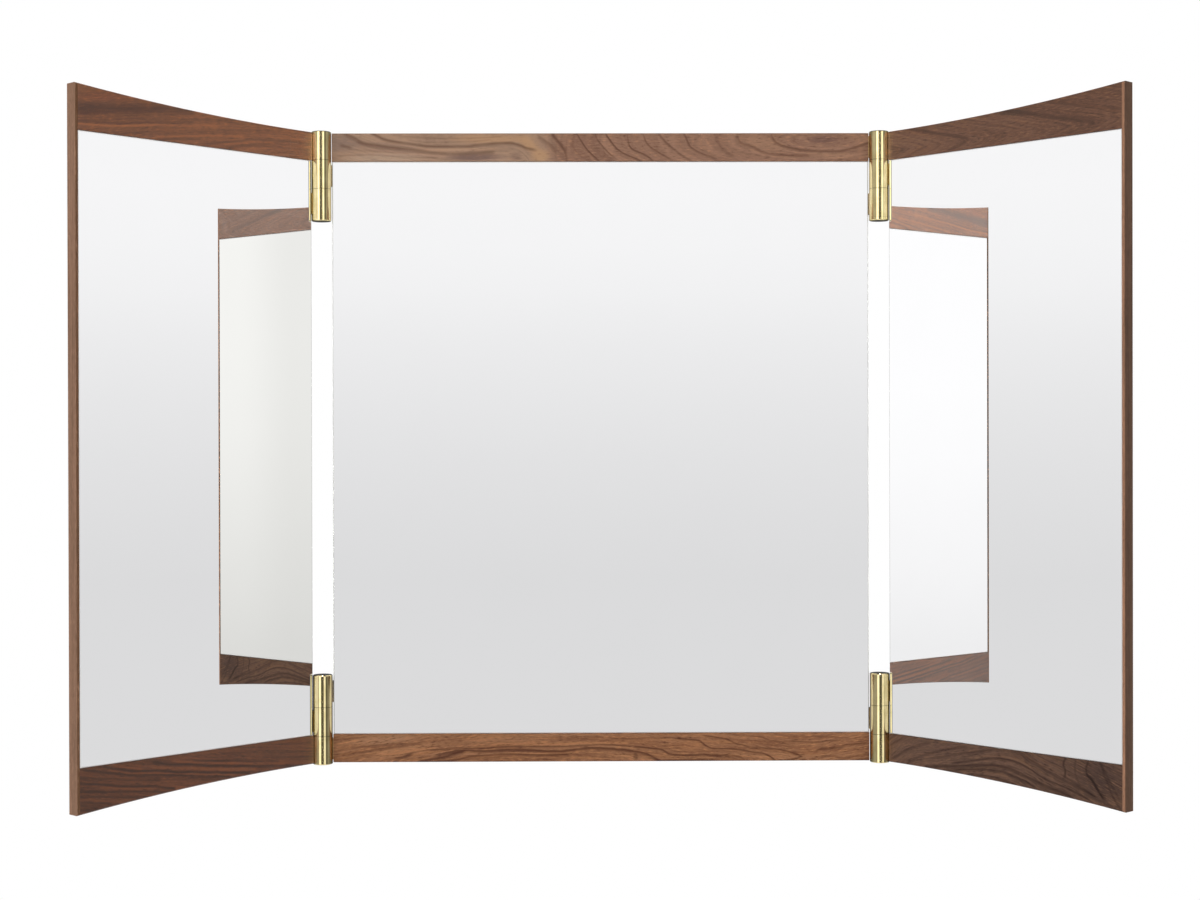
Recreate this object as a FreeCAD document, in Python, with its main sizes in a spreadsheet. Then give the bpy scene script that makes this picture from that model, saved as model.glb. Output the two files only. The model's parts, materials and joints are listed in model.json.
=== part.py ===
import FreeCAD, Part
import math
import os
import re

import Sketcher

# Three-panel vanity mirror for a wall: a straight centre panel and two wings on barrel hinges.
# Millimetres. The origin is the middle of the centre panel's back, on the wall.
# +X runs to the viewer's right, +Y into the wall and +Z up.
# A wing is drawn lying flat, with its hinge axis as its own origin, and is then turned to its rest angle.

SIZES = {
    # Panels
    "centre_width": 572,
    "panel_height": 670,
    "rail_height": 30,
    "centre_thickness": 18,
    "wing_thickness": 16,
    "wing_width": 285,
    "end_rise": 15,
    "strip_thickness": 3,
    "front_arris": 1.2,
    "back_arris": 2,
    # Mirror glass
    "glass_thickness": 4,
    "glass_setback": 0.4,
    "glass_joint": 0.3,
    "glass_arris": 0.8,
    # Tongue on each backboard and groove in each rail
    "tongue_height": 8,
    "tongue_width": 6,
    "tongue_stop": 42,
    "joint_clearance": 0.1,
    # Angles from flat at which the wings rest
    "left_angle": 46.4,
    "right_angle": 47.4,
    # Hinge barrels
    "axis_lead": 2,
    "barrel_diameter": 21.0,
    "barrel_clearance": 0.3,
    "barrel_overrun": 1,
    "barrel_chamfer": 0.8,
    "knuckle_height": 30.2,
    "end_wall": 5,
    "pin_diameter": 8,
    "pin_play": 0.3,
    "push_clearance": 0.02,
    "running_clearance": 0.05,
    "knuckle_gap": 0.4,
    "pin_head_height": 3.5,
    "pin_head_gap": 0.1,
    # Ear and blade of each knuckle
    "blade_height": 22,
    "blade_thickness": 5,
    "blade_length": 34,
    "blade_setback": 6,
    "ear_setback": 1,
    "blade_clearance": 0.15,
    # Keyhole hangers, the blocks that carry them and their countersunk screws
    "hanger_spacing": 400,
    "hanger_drop": 65,
    "block_width": 44,
    "block_height": 80,
    "hanger_width": 18,
    "hanger_height": 56,
    "hanger_thickness": 2,
    "hanger_clearance": 0.2,
    "hanger_screw_spread": 22,
    "hanger_screw_diameter": 3,
    "hanger_screw_head": 5.4,
    "hanger_screw_length": 9,
    "screw_clearance": 0.05,
    "screw_tip_margin": 1,
    "head_inset": 0.2,
    "keyhole_entry": 10,
    "keyhole_drop": 7,
    "keyhole_slot": 5,
    "keyhole_travel": 12,
    "head_pocket_width": 12,
    "head_pocket_depth": 9,
}

# Lengths that follow from the sizes
DERIVED = {
    "panel_half": "panel_height / 2",
    "glass_half": "panel_half - rail_height",
    "centre_half": "centre_width / 2",
    "edge_gap": "barrel_radius + barrel_clearance",
    "axis_x": "centre_half + edge_gap",
    "axis_y": "-centre_thickness - axis_lead",
    "strip_start": "edge_gap + wing_width - strip_thickness",
    "wing_end": "edge_gap + wing_width",
    "wing_back": "axis_lead + wing_thickness",
    "sweep_radius": "(wing_width * wing_width + end_rise * end_rise) / (2 * end_rise)",
    "glass_back": "glass_setback + glass_thickness",
    "centre_board": "centre_thickness - glass_back",
    "wing_board": "wing_thickness - glass_back",
    "barrel_radius": "barrel_diameter / 2",
    "knuckle_step": "knuckle_height + knuckle_gap",
    "outer_level": "panel_half + barrel_overrun - knuckle_height / 2",
    "middle_level": "outer_level - knuckle_step",
    "inner_level": "middle_level - knuckle_step",
    "blade_front": "axis_lead + blade_setback",
    "blade_back": "blade_front + blade_thickness",
    "hanger_level": "glass_half - hanger_drop",
}

HALF_TURN = 180
COUNTERSINK_ANGLE = 90
NEAR = 1e-4

document = FreeCAD.newDocument("vanity_mirror")
sheet = document.addObject("Spreadsheet::Sheet", "Sizes")
for row, (size_name, size_value) in enumerate(SIZES.items(), start=1):
    sheet.set(f"A{row}", size_name)
    sheet.set(f"B{row}", str(size_value))
    sheet.setAlias(f"B{row}", size_name)
document.recompute()


def bound(formula):
    """The expression on the sheet for a formula in size names."""

    def on_sheet(match):
        word = match.group(0)
        if word in DERIVED:
            return f"({bound(DERIVED[word])})"
        return f"Sizes.{word}" if word in SIZES else word

    return re.sub(r"[a-z_]+", on_sheet, str(formula))


def value(formula):
    """The length that a formula has now."""
    return float(sheet.evalExpression(bound(formula)))


def new_body(label):
    body = document.addObject("PartDesign::Body", label)
    body.Label = label
    return body


def seat(body, x="0", y="0", z="0", angle="0", turn="0"):
    """Place a finished piece: half turned about Y where it is the other end's twin, then turned about Z."""
    place = f"create(<<vector>>; {bound(x)}; {bound(y)}; {bound(z)})"
    swing = f"create(<<rotation>>; create(<<vector>>; 0; 0; 1); {bound(angle)})"
    flip = f"create(<<rotation>>; create(<<vector>>; 0; 1; 0); {bound(turn)})"
    body.setExpression("Placement", f"create(<<placement>>; {place}; {swing} * {flip})")


def sketch_on(body, plane, level="0"):
    """A sketch on one of the body's own planes, raised along that plane's normal."""
    sketch = body.newObject("Sketcher::SketchObject", f"{body.Name}_sketch")
    support = next(f for f in body.Origin.OriginFeatures if f.Role == plane)
    sketch.AttachmentSupport = [(support, "")]
    sketch.MapMode = "FlatFace"
    sketch.setExpression("AttachmentOffset.Base.z", bound(level))
    return sketch


def fix_point(sketch, part, end, x=None, y=None):
    """Tie one point of a sketch to formulas, measured from the sketch's origin."""
    for kind, formula in (("DistanceX", x), ("DistanceY", y)):
        if formula is None:
            continue
        index = sketch.addConstraint(Sketcher.Constraint(kind, -1, 1, part, end, value(formula)))
        sketch.setExpression(f"Constraints[{index}]", bound(formula))


def draw_outline(sketch, corners):
    """A closed outline of straight sides through corners that are pairs of formulas."""
    points = [FreeCAD.Vector(value(x), value(y), 0) for x, y in corners]
    sides = [
        sketch.addGeometry(Part.LineSegment(start, end))
        for start, end in zip(points, points[1:] + points[:1])
    ]
    for side, following in zip(sides, sides[1:] + sides[:1]):
        sketch.addConstraint(Sketcher.Constraint("Coincident", side, 2, following, 1))
    for side, (x, y) in zip(sides, corners):
        fix_point(sketch, side, 1, x, y)


def draw_box(sketch, left, right, low, high):
    draw_outline(sketch, [(left, low), (right, low), (right, high), (left, high)])


def draw_circle(sketch, x, y, diameter):
    centre = FreeCAD.Vector(value(x), value(y), 0)
    circle = sketch.addGeometry(Part.Circle(centre, FreeCAD.Vector(0, 0, 1), value(diameter) / 2))
    fix_point(sketch, circle, 3, x, y)
    index = sketch.addConstraint(Sketcher.Constraint("Diameter", circle, value(diameter)))
    sketch.setExpression(f"Constraints[{index}]", bound(diameter))


def extrude(body, kind, sketch, length, both_ways=False, backwards=False):
    """Pad or Pocket a sketch."""
    feature = body.newObject(f"PartDesign::{kind}", f"{body.Name}_{kind.lower()}")
    feature.Profile = sketch
    feature.setExpression("Length", bound(length))
    feature.Midplane = both_ways
    feature.Reversed = backwards
    return feature


def revolve(body, profile):
    """A solid of revolution about the hinge axis from a half section of radii and heights."""
    sketch = sketch_on(body, "XZ_Plane")
    draw_outline(sketch, profile)
    feature = body.newObject("PartDesign::Revolution", f"{body.Name}_revolution")
    feature.Profile = sketch
    feature.ReferenceAxis = (sketch, ["V_Axis"])
    feature.Angle = 360
    return feature


def ease_edges(body, base, size, wanted):
    """Chamfer the edges of a feature that the test picks by their boxes."""
    document.recompute()
    names = [f"Edge{i}" for i, edge in enumerate(base.Shape.Edges, start=1) if wanted(edge.BoundBox)]
    feature = body.newObject("PartDesign::Chamfer", f"{body.Name}_chamfer")
    feature.Base = (base, names)
    feature.setExpression("Size", bound(size))
    return feature


def lies_at(low, high, formula):
    """Whether a box's span lies in the plane that a formula gives."""
    return abs(low - value(formula)) < NEAR and abs(high - value(formula)) < NEAR


def sink_holes(body, sketch, hole, head):
    """Countersunk holes from the back, at the sketch's circles."""
    document.recompute()
    feature = body.newObject("PartDesign::Hole", f"{body.Name}_holes")
    feature.Profile = sketch
    feature.Reversed = True
    feature.DepthType = "Dimension"
    feature.HoleCutType = "Countersink"
    feature.HoleCutCustomValues = True
    feature.HoleCutCountersinkAngle = COUNTERSINK_ANGLE
    feature.DrillPoint = "Flat"
    feature.setExpression("Diameter", bound(hole))
    feature.setExpression("HoleCutDiameter", bound(head))
    return feature


def blade_slots(body, edge, inward, levels, front):
    """Mortises for hinge blades in a panel's edge, drawn on that edge and cut into the panel."""
    sketch = sketch_on(body, "YZ_Plane", edge)
    for level in levels:
        draw_box(
            sketch,
            f"{front} + blade_setback - blade_clearance",
            f"{front} + blade_setback + blade_thickness + blade_clearance",
            f"{level} - blade_height / 2 - blade_clearance",
            f"{level} + blade_height / 2 + blade_clearance",
        )
    extrude(body, "Pocket", sketch, "blade_length + blade_clearance", backwards=inward == "+")


def backboard(label, near, far, back, board, thickness, slots):
    """Board behind the glass, with tongues for the rails and mortises for the hinge blades."""
    body = new_body(label)
    sketch = sketch_on(body, "XZ_Plane", f"-({back})")
    draw_box(sketch, near, far, "-glass_half", "glass_half")
    extrude(body, "Pad", sketch, board)
    tongue = sketch_on(body, "XZ_Plane", f"{board} / 2 - tongue_width / 2 - ({back})")
    tip = "glass_half + tongue_height"
    draw_box(tongue, f"{near} + tongue_stop", f"{far} - tongue_stop", f"-({tip})", tip)
    extrude(body, "Pad", tongue, "tongue_width")
    for edge, inward, levels in slots:
        blade_slots(body, edge, inward, levels, f"{back} - {thickness}")
    return body


def rail_groove(body, near, far, back, board, side):
    """Stopped groove in a rail's inner edge, for the backboard's tongue."""
    sketch = sketch_on(body, "XY_Plane", f"{side} * glass_half")
    middle = f"{back} - {board} / 2"
    draw_box(
        sketch,
        f"{near} + tongue_stop - joint_clearance",
        f"{far} - tongue_stop + joint_clearance",
        f"{middle} - tongue_width / 2 - joint_clearance",
        f"{middle} + tongue_width / 2 + joint_clearance",
    )
    extrude(body, "Pocket", sketch, "tongue_height + joint_clearance", backwards=side > 0)


def centre_rail(label, turn):
    """Straight rail with one hinge blade in its right end; the bottom rail is the same piece turned over."""
    body = new_body(label)
    sketch = sketch_on(body, "YZ_Plane")
    draw_box(sketch, "-centre_thickness", "0", "glass_half", "panel_half")
    bar = extrude(body, "Pad", sketch, "centre_width", both_ways=True)
    front = ease_edges(body, bar, "front_arris", lambda box: (
        lies_at(box.ZMin, box.ZMax, "panel_half") and lies_at(box.YMin, box.YMax, "-centre_thickness")))
    ease_edges(body, front, "back_arris", lambda box: (
        lies_at(box.ZMin, box.ZMax, "panel_half") and lies_at(box.YMin, box.YMax, "0")))
    rail_groove(body, "-centre_half", "centre_half", "0", "centre_board", 1)
    blade_slots(body, "centre_half", "-", ["outer_level"], "-centre_thickness")
    seat(body, turn=turn)


def wing_rail(label, side, slotted, **place):
    """Wing rail whose outer edge sweeps up from the hinge to the end; side is 1 for the top and -1 below."""
    body = new_body(label)
    sketch = sketch_on(body, "XZ_Plane", "-wing_back")
    foot, root = f"{side} * glass_half", f"{side} * panel_half"
    pivot = f"{side} * (panel_half + sweep_radius)"
    radius = value("sweep_radius")
    centre = FreeCAD.Vector(value("edge_gap"), value(pivot), 0)
    reach = math.asin((value("strip_start") - value("edge_gap")) / radius)
    straight_down, span = -side * math.pi / 2, sorted((0, side * reach))
    arc = sketch.addGeometry(Part.ArcOfCircle(
        Part.Circle(centre, FreeCAD.Vector(0, 0, 1), radius), straight_down + span[0], straight_down + span[1]))
    hinge_end, outer_end = (1, 2) if side > 0 else (2, 1)
    points = [
        FreeCAD.Vector(value("edge_gap"), value(root), 0),
        FreeCAD.Vector(value("edge_gap"), value(foot), 0),
        FreeCAD.Vector(value("strip_start"), value(foot), 0),
        FreeCAD.Vector(value("strip_start"), value(pivot) - side * radius * math.cos(reach), 0),
    ]
    down, along, up = [sketch.addGeometry(Part.LineSegment(a, b)) for a, b in zip(points, points[1:])]
    for pair in ((arc, hinge_end, down, 1), (down, 2, along, 1), (along, 2, up, 1), (up, 2, arc, outer_end)):
        sketch.addConstraint(Sketcher.Constraint("Coincident", *pair))
    fix_point(sketch, arc, 3, "edge_gap", pivot)
    fix_point(sketch, down, 1, "edge_gap", root)
    fix_point(sketch, along, 1, "edge_gap", foot)
    fix_point(sketch, along, 2, "strip_start", foot)
    fix_point(sketch, up, 2, "strip_start")
    bar = extrude(body, "Pad", sketch, "wing_thickness")
    swept = value("panel_half") - NEAR

    def on_sweep(box, depth):
        outermost = min(abs(box.ZMin), abs(box.ZMax))
        return box.XLength > value("wing_width") / 2 and outermost > swept and lies_at(box.YMin, box.YMax, depth)

    front = ease_edges(body, bar, "front_arris", lambda box: on_sweep(box, "axis_lead"))
    ease_edges(body, front, "back_arris", lambda box: on_sweep(box, "wing_back"))
    rail_groove(body, "edge_gap", "strip_start", "wing_back", "wing_board", side)
    if slotted:
        blade_slots(body, "edge_gap", "+", [f"{side} * outer_level"], "axis_lead")
    seat(body, **place)


def edge_strip(label, **place):
    """Strip that closes a wing's outer end, cut to the same sweep as the rails."""
    body = new_body(label)
    sketch = sketch_on(body, "XZ_Plane", "-wing_back")

    def sweep_at(x):
        run = f"({x} - edge_gap)"
        return f"(panel_half + sweep_radius - sqrt(sweep_radius * sweep_radius - {run} * {run}))"

    draw_outline(sketch, [
        ("strip_start", f"-{sweep_at('strip_start')}"),
        ("wing_end", f"-{sweep_at('wing_end')}"),
        ("wing_end", sweep_at("wing_end")),
        ("strip_start", sweep_at("strip_start")),
    ])
    strip = extrude(body, "Pad", sketch, "wing_thickness")

    def outside(box, depth):
        inner_edge = lies_at(box.XMin, box.XMax, "strip_start")
        return lies_at(box.YMin, box.YMax, depth) and not inner_edge

    front = ease_edges(body, strip, "front_arris", lambda box: outside(box, "axis_lead"))
    ease_edges(body, front, "back_arris", lambda box: outside(box, "wing_back"))
    seat(body, **place)


def mirror_glass(label, near, far, front, **place):
    """Sheet of mirror glass with a ground arris round its face."""
    body = new_body(label)
    sketch = sketch_on(body, "XZ_Plane", f"-({front} + glass_back)")
    edge = "(glass_half - glass_joint)"
    draw_box(sketch, f"{near} + glass_joint", f"{far} - glass_joint", f"-{edge}", edge)
    sheet_of_glass = extrude(body, "Pad", sketch, "glass_thickness")
    face = f"{front} + glass_setback"
    ease_edges(body, sheet_of_glass, "glass_arris", lambda box: lies_at(box.YMin, box.YMax, face))
    seat(body, **place)


HANGER_SCREW_SPOTS = [
    (x, f"hanger_level {sign} hanger_screw_spread")
    for x in ("-hanger_spacing / 2", "hanger_spacing / 2")
    for sign in "+-"
]


def hanger_screws(label):
    """Countersunk screws that hold the hanger plates, driven from the back."""
    body = new_body(label)
    shanks = sketch_on(body, "XZ_Plane", "head_inset")
    heads = sketch_on(body, "XZ_Plane", "head_inset")
    for x, z in HANGER_SCREW_SPOTS:
        draw_circle(shanks, x, z, "hanger_screw_diameter")
        draw_circle(heads, x, z, "hanger_screw_head")
    extrude(body, "Pad", shanks, "hanger_screw_length")
    cones = extrude(body, "Pad", heads, "(hanger_screw_head - hanger_screw_diameter) / 2")
    cones.TaperAngle = -COUNTERSINK_ANGLE / 2


def knuckle(label, kind, **place):
    """One barrel piece of a hinge, with its ear and blade to the right and the hinge's outer end below."""
    body = new_body(label)
    barrel = sketch_on(body, "XY_Plane")
    draw_circle(barrel, "0", "0", "barrel_diameter")
    tube = extrude(body, "Pad", barrel, "knuckle_height", both_ways=True)
    if kind == "outer":
        ease_edges(body, tube, "barrel_chamfer", lambda box: (
            lies_at(box.ZMin, box.ZMax, "-knuckle_height / 2")))
    blade = sketch_on(body, "XY_Plane")
    shoulder = "edge_gap - blade_clearance"
    draw_outline(blade, [
        ("barrel_radius / 2", "axis_lead + ear_setback"),
        (shoulder, "axis_lead + ear_setback"),
        (shoulder, "blade_front"),
        ("edge_gap + blade_length", "blade_front"),
        ("edge_gap + blade_length", "blade_back"),
        ("barrel_radius / 2", "blade_back"),
    ])
    extrude(body, "Pad", blade, "blade_height", both_ways=True)
    bore = sketch_on(body, "XY_Plane", "knuckle_height / 2")
    clearance = "running_clearance" if kind == "middle" else "push_clearance"
    draw_circle(bore, "0", "0", f"pin_diameter + 2 * {clearance}")
    depth = "knuckle_height - end_wall" if kind == "outer" else "knuckle_height"
    extrude(body, "Pocket", bore, depth)
    seat(body, **place)


def hinge_pin(label, **place):
    """Pin that runs from its head at the hinge's inner end to the outer knuckle's blind end."""
    body = new_body(label)
    tip = "-knuckle_step - knuckle_height / 2 + end_wall + pin_play"
    neck = "knuckle_step + knuckle_height / 2 + pin_head_gap"
    top = f"{neck} + pin_head_height"
    revolve(body, [
        ("0", tip), ("pin_diameter / 2", tip), ("pin_diameter / 2", neck), ("barrel_radius", neck),
        ("barrel_radius", f"{top} - barrel_chamfer"), ("barrel_radius - barrel_chamfer", top), ("0", top),
    ])
    seat(body, **place)


def keyhole_plate(label, **place):
    """Keyhole hanger plate, drawn about its middle with its face on the wall."""
    body = new_body(label)
    sketch = sketch_on(body, "XZ_Plane")
    draw_box(sketch, "-hanger_width / 2", "hanger_width / 2", "-hanger_height / 2", "hanger_height / 2")
    extrude(body, "Pad", sketch, "hanger_thickness")
    entry = sketch_on(body, "XZ_Plane")
    draw_circle(entry, "0", "-keyhole_drop", "keyhole_entry")
    extrude(body, "Pocket", entry, "hanger_thickness", backwards=True)
    slot = sketch_on(body, "XZ_Plane")
    top = "keyhole_travel - keyhole_drop"
    draw_box(slot, "-keyhole_slot / 2", "keyhole_slot / 2", "-keyhole_drop", top)
    extrude(body, "Pocket", slot, "hanger_thickness", backwards=True)
    rest = sketch_on(body, "XZ_Plane")
    draw_circle(rest, "0", top, "keyhole_slot")
    extrude(body, "Pocket", rest, "hanger_thickness", backwards=True)
    holes = sketch_on(body, "XZ_Plane")
    for level in ("hanger_screw_spread", "-hanger_screw_spread"):
        draw_circle(holes, "0", level, "hanger_screw_diameter")
    hole = "hanger_screw_diameter + 2 * screw_clearance"
    sunk = sink_holes(body, holes, hole, "hanger_screw_head + 2 * head_inset")
    sunk.setExpression("Depth", bound("hanger_thickness"))
    seat(body, **place)


def hanger_block(label, **place):
    """Hardwood block behind a hanger plate, recessed for the plate, a wall screw's head and the small screws."""
    body = new_body(label)
    sketch = sketch_on(body, "XZ_Plane")
    draw_box(sketch, "-block_width / 2", "block_width / 2", "-block_height / 2", "block_height / 2")
    extrude(body, "Pad", sketch, "centre_board")
    recess = sketch_on(body, "XZ_Plane")
    across, along = "(hanger_width / 2 + hanger_clearance)", "(hanger_height / 2 + hanger_clearance)"
    draw_box(recess, f"-{across}", across, f"-{along}", along)
    extrude(body, "Pocket", recess, "hanger_thickness", backwards=True)
    heads = sketch_on(body, "XZ_Plane")
    draw_box(
        heads,
        "-head_pocket_width / 2",
        "head_pocket_width / 2",
        "-keyhole_drop - head_pocket_width / 2",
        "keyhole_travel - keyhole_drop + head_pocket_width / 2",
    )
    extrude(body, "Pocket", heads, "head_pocket_depth", backwards=True)
    pilots = sketch_on(body, "XZ_Plane")
    for level in ("hanger_screw_spread", "-hanger_screw_spread"):
        draw_circle(pilots, "0", level, "hanger_screw_diameter + 2 * screw_clearance")
    extrude(body, "Pocket", pilots, "head_inset + hanger_screw_length + screw_tip_margin", backwards=True)
    seat(body, **place)


def block_windows(body):
    """Windows through the centre backboard for the hanger blocks."""
    sketch = sketch_on(body, "XZ_Plane")
    for x in ("-hanger_spacing / 2", "hanger_spacing / 2"):
        draw_box(
            sketch,
            f"{x} - block_width / 2 - joint_clearance",
            f"{x} + block_width / 2 + joint_clearance",
            "hanger_level - block_height / 2 - joint_clearance",
            "hanger_level + block_height / 2 + joint_clearance",
        )
    extrude(body, "Pocket", sketch, "centre_board", backwards=True)


CENTRE_SLOTS = [
    ("centre_half", "-", ["inner_level", "-middle_level"]),
    ("-centre_half", "+", ["middle_level", "-inner_level"]),
]
WING_SLOTS = [("edge_gap", "+", ["middle_level", "-inner_level"])]


def centre_panel():
    board = backboard("centre_backboard", "-centre_half", "centre_half", "0", "centre_board",
                      "centre_thickness", CENTRE_SLOTS)
    block_windows(board)
    mirror_glass("centre_glass", "-centre_half", "centre_half", "-centre_thickness")
    centre_rail("centre_top_rail", "0")
    centre_rail("centre_bottom_rail", HALF_TURN)
    for side, x in (("left", "-hanger_spacing / 2"), ("right", "hanger_spacing / 2")):
        hanger_block(f"{side}_hanger_block", x=x, z="hanger_level")
        keyhole_plate(f"{side}_hanger", x=x, z="hanger_level")
    hanger_screws("hanger_screws")


def wing(side, **place):
    """One wing; the left one is the right one turned over, so its plain rail is the lower one."""
    plain, slotted = ("top", "bottom") if side == "right" else ("bottom", "top")
    board = backboard(f"{side}_wing_backboard", "edge_gap", "strip_start", "wing_back", "wing_board",
                      "wing_thickness", WING_SLOTS)
    seat(board, **place)
    mirror_glass(f"{side}_wing_glass", "edge_gap", "strip_start", "axis_lead", **place)
    wing_rail(f"{side}_wing_{plain}_rail", 1, False, **place)
    wing_rail(f"{side}_wing_{slotted}_rail", -1, True, **place)
    edge_strip(f"{side}_wing_edge_strip", **place)


def hinge(name, x, upper, left_panel_angle, right_panel_angle):
    """One hinge: the lower ones carry their outer and inner knuckles on the right-hand panel.

    The upper ones are the same hinge turned over, so those knuckles are on the left-hand panel.
    """
    sign, turn = ("+", HALF_TURN) if upper else ("-", "0")
    ends, middle = (left_panel_angle, right_panel_angle) if upper else (right_panel_angle, left_panel_angle)
    middle_turn = "0" if upper else HALF_TURN
    carried = {"x": x, "y": "axis_y", "angle": ends, "turn": turn}
    knuckle(f"{name}_outer_knuckle", "outer", z=f"{sign} outer_level", **carried)
    knuckle(f"{name}_inner_knuckle", "inner", z=f"{sign} inner_level", **carried)
    knuckle(f"{name}_middle_knuckle", "middle", x=x, y="axis_y", z=f"{sign} middle_level", angle=middle,
            turn=middle_turn)
    hinge_pin(f"{name}_pin", z=f"{sign} middle_level", **carried)


centre_panel()
wing("left", x="-axis_x", y="axis_y", angle="left_angle", turn=HALF_TURN)
wing("right", x="axis_x", y="axis_y", angle="-right_angle")
for end_name, is_upper in (("upper", True), ("lower", False)):
    hinge(f"{end_name}_left", "-axis_x", is_upper, "left_angle", "0")
    hinge(f"{end_name}_right", "axis_x", is_upper, "0", "-right_angle")
document.recompute()

# Every object has to be sound, and every cut has to take something away, before anything is written
for item in document.Objects:
    if {"Invalid", "Error"} & set(item.State):
        raise RuntimeError(f"{item.Name} failed: {item.State}")
    if item.TypeId in ("PartDesign::Pocket", "PartDesign::Hole"):
        if item.Shape.Volume > item.BaseFeature.Shape.Volume - NEAR:
            raise RuntimeError(f"{item.Name} cuts nothing")
pieces = [item for item in document.Objects if item.TypeId == "PartDesign::Body"]
for piece in pieces:
    if piece.Shape.isNull() or not piece.Shape.isValid():
        raise RuntimeError(f"{piece.Label} has no sound shape")

os.makedirs("parts", exist_ok=True)
for piece in pieces:
    piece.Shape.exportStep(f"parts/{piece.Label}.step")
    print(piece.Label, len(piece.Shape.Solids), "solids", round(piece.Shape.Volume), "mm3")
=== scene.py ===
"""Finish of the folding vanity mirror: walnut, silvered glass, brass and zinc, on a plain studio stage."""

import json
import math

import bmesh
import bpy
from bpy.props import FloatProperty, FloatVectorProperty, PointerProperty
from bpy.types import Operator, Panel, PropertyGroup
from mathutils import Matrix, Vector


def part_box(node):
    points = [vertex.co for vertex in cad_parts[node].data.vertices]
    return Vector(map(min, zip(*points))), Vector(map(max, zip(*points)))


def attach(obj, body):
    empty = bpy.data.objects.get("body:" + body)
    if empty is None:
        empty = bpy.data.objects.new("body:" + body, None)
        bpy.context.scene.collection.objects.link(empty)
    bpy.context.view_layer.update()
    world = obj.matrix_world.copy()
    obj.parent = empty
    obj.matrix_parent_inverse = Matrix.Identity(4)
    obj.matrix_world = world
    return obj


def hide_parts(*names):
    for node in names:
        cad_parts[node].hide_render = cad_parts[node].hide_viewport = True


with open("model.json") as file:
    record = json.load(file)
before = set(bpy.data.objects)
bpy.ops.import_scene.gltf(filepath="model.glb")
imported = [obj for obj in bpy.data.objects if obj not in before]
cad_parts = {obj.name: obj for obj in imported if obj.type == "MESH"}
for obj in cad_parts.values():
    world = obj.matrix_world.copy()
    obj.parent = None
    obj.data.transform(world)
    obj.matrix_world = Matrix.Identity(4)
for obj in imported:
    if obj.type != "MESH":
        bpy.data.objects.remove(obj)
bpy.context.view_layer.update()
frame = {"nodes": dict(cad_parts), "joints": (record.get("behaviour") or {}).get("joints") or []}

bl_info = {
    "name": "Vanity Mirror Finish",
    "version": (1, 0, 0),
    "blender": (4, 5, 0),
    "location": "View3D > Sidebar > Vanity Mirror",
    "description": "Gives the folding vanity mirror its wood, glass and metal, and sets up the studio",
    "category": "Object",
}

MM = 0.001
FULL = 255.0


def tone(red, green, blue):
    """A colour in display values from 0 to 255, as the linear values that nodes use, by the sRGB curve."""
    linear = []
    for value in (red, green, blue):
        share = value / FULL
        linear.append(share / 12.92 if share <= 0.04045 else ((share + 0.055) / 1.055) ** 2.4)
    return tuple(linear)


def times(shade, *factors):
    """A colour times one factor, or times one each for red, green and blue."""
    return tuple(value * factor for value, factor in zip(shade, factors * (3 // len(factors))))


def colour(name, description, red, green, blue):
    """A colour setting whose default is given in display values."""
    return FloatVectorProperty(
        name=name, description=description, default=tone(red, green, blue),
        subtype="COLOR", size=3, min=0.0, max=1.0)


def length(name, description, millimetres):
    """A length setting whose default is given in millimetres."""
    return FloatProperty(
        name=name, description=description, default=millimetres * MM,
        subtype="DISTANCE", unit="LENGTH", min=0.0, precision=5)


# Tones of the six rails in display values: light wood, deep wood and ring lines.
# Each rail has its own walnut, with painted light and shade in its tones as well: the wings' rails are
# darker than the centre's, and the wings' bottom rails darker than their top rails, as the light falls from
# above the front.
RAIL_TONES_AS_LIT = {
    "centre_top": ((151, 116, 95), (114, 83, 68), (86, 58, 46)),
    "centre_bottom": ((158, 114, 83), (112, 73, 51), (78, 47, 33)),
    "left_top": ((142, 100, 72), (94, 62, 48), (70, 47, 39)),
    "left_bottom": ((110, 73, 54), (70, 46, 35), (46, 29, 22)),
    "right_top": ((127, 95, 79), (92, 66, 54), (74, 54, 46)),
    "right_bottom": ((109, 82, 68), (74, 56, 47), (50, 37, 32)),
}
WOOD_PARTS = {"light": "Light wood", "deep": "Deep wood", "line": "Ring lines"}


class WalnutSettings(PropertyGroup):
    """Colours of the six rails, the edge strips and the boards. Most rail colours are added below."""

    centre_top_pale_stretch: colour("Centre top, pale", "Pale stretch of the centre top rail", 170, 139, 116)
    # The strips' colours are lit and shaded copies of one walnut: the left end is lighter and the right end
    # darker by how the light falls, the right lip is lighter with a painted highlight on its arris, and the
    # left lip is darker with painted shade.
    left_strip_end: colour("Left strip, end", "End face of the left wing's strip", 152, 117, 95)
    left_strip_lip: colour("Left strip, lip", "Edge of the left strip beside the glass", 100, 70, 49)
    right_strip_end: colour("Right strip, end", "End face of the right wing's strip", 92, 69, 55)
    right_strip_lip: colour("Right strip, lip", "Edge of the right strip beside the glass", 166, 123, 97)
    board_light: colour("Board, light", "Light wood of the boards' veneer", 140, 101, 76)
    board_deep: colour("Board, deep", "Deep wood of the boards' veneer", 104, 72, 54)
    board_line: colour("Board, lines", "Ring lines of the boards' veneer", 72, 49, 38)


for rail, shades in RAIL_TONES_AS_LIT.items():
    words = rail.replace("_", " ")
    for (part, what), shade in zip(WOOD_PARTS.items(), shades):
        WalnutSettings.__annotations__[f"{rail}_{part}"] = colour(
            f"{words.capitalize()}, {part}", f"{what} of the {words} rail", *shade)


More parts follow.
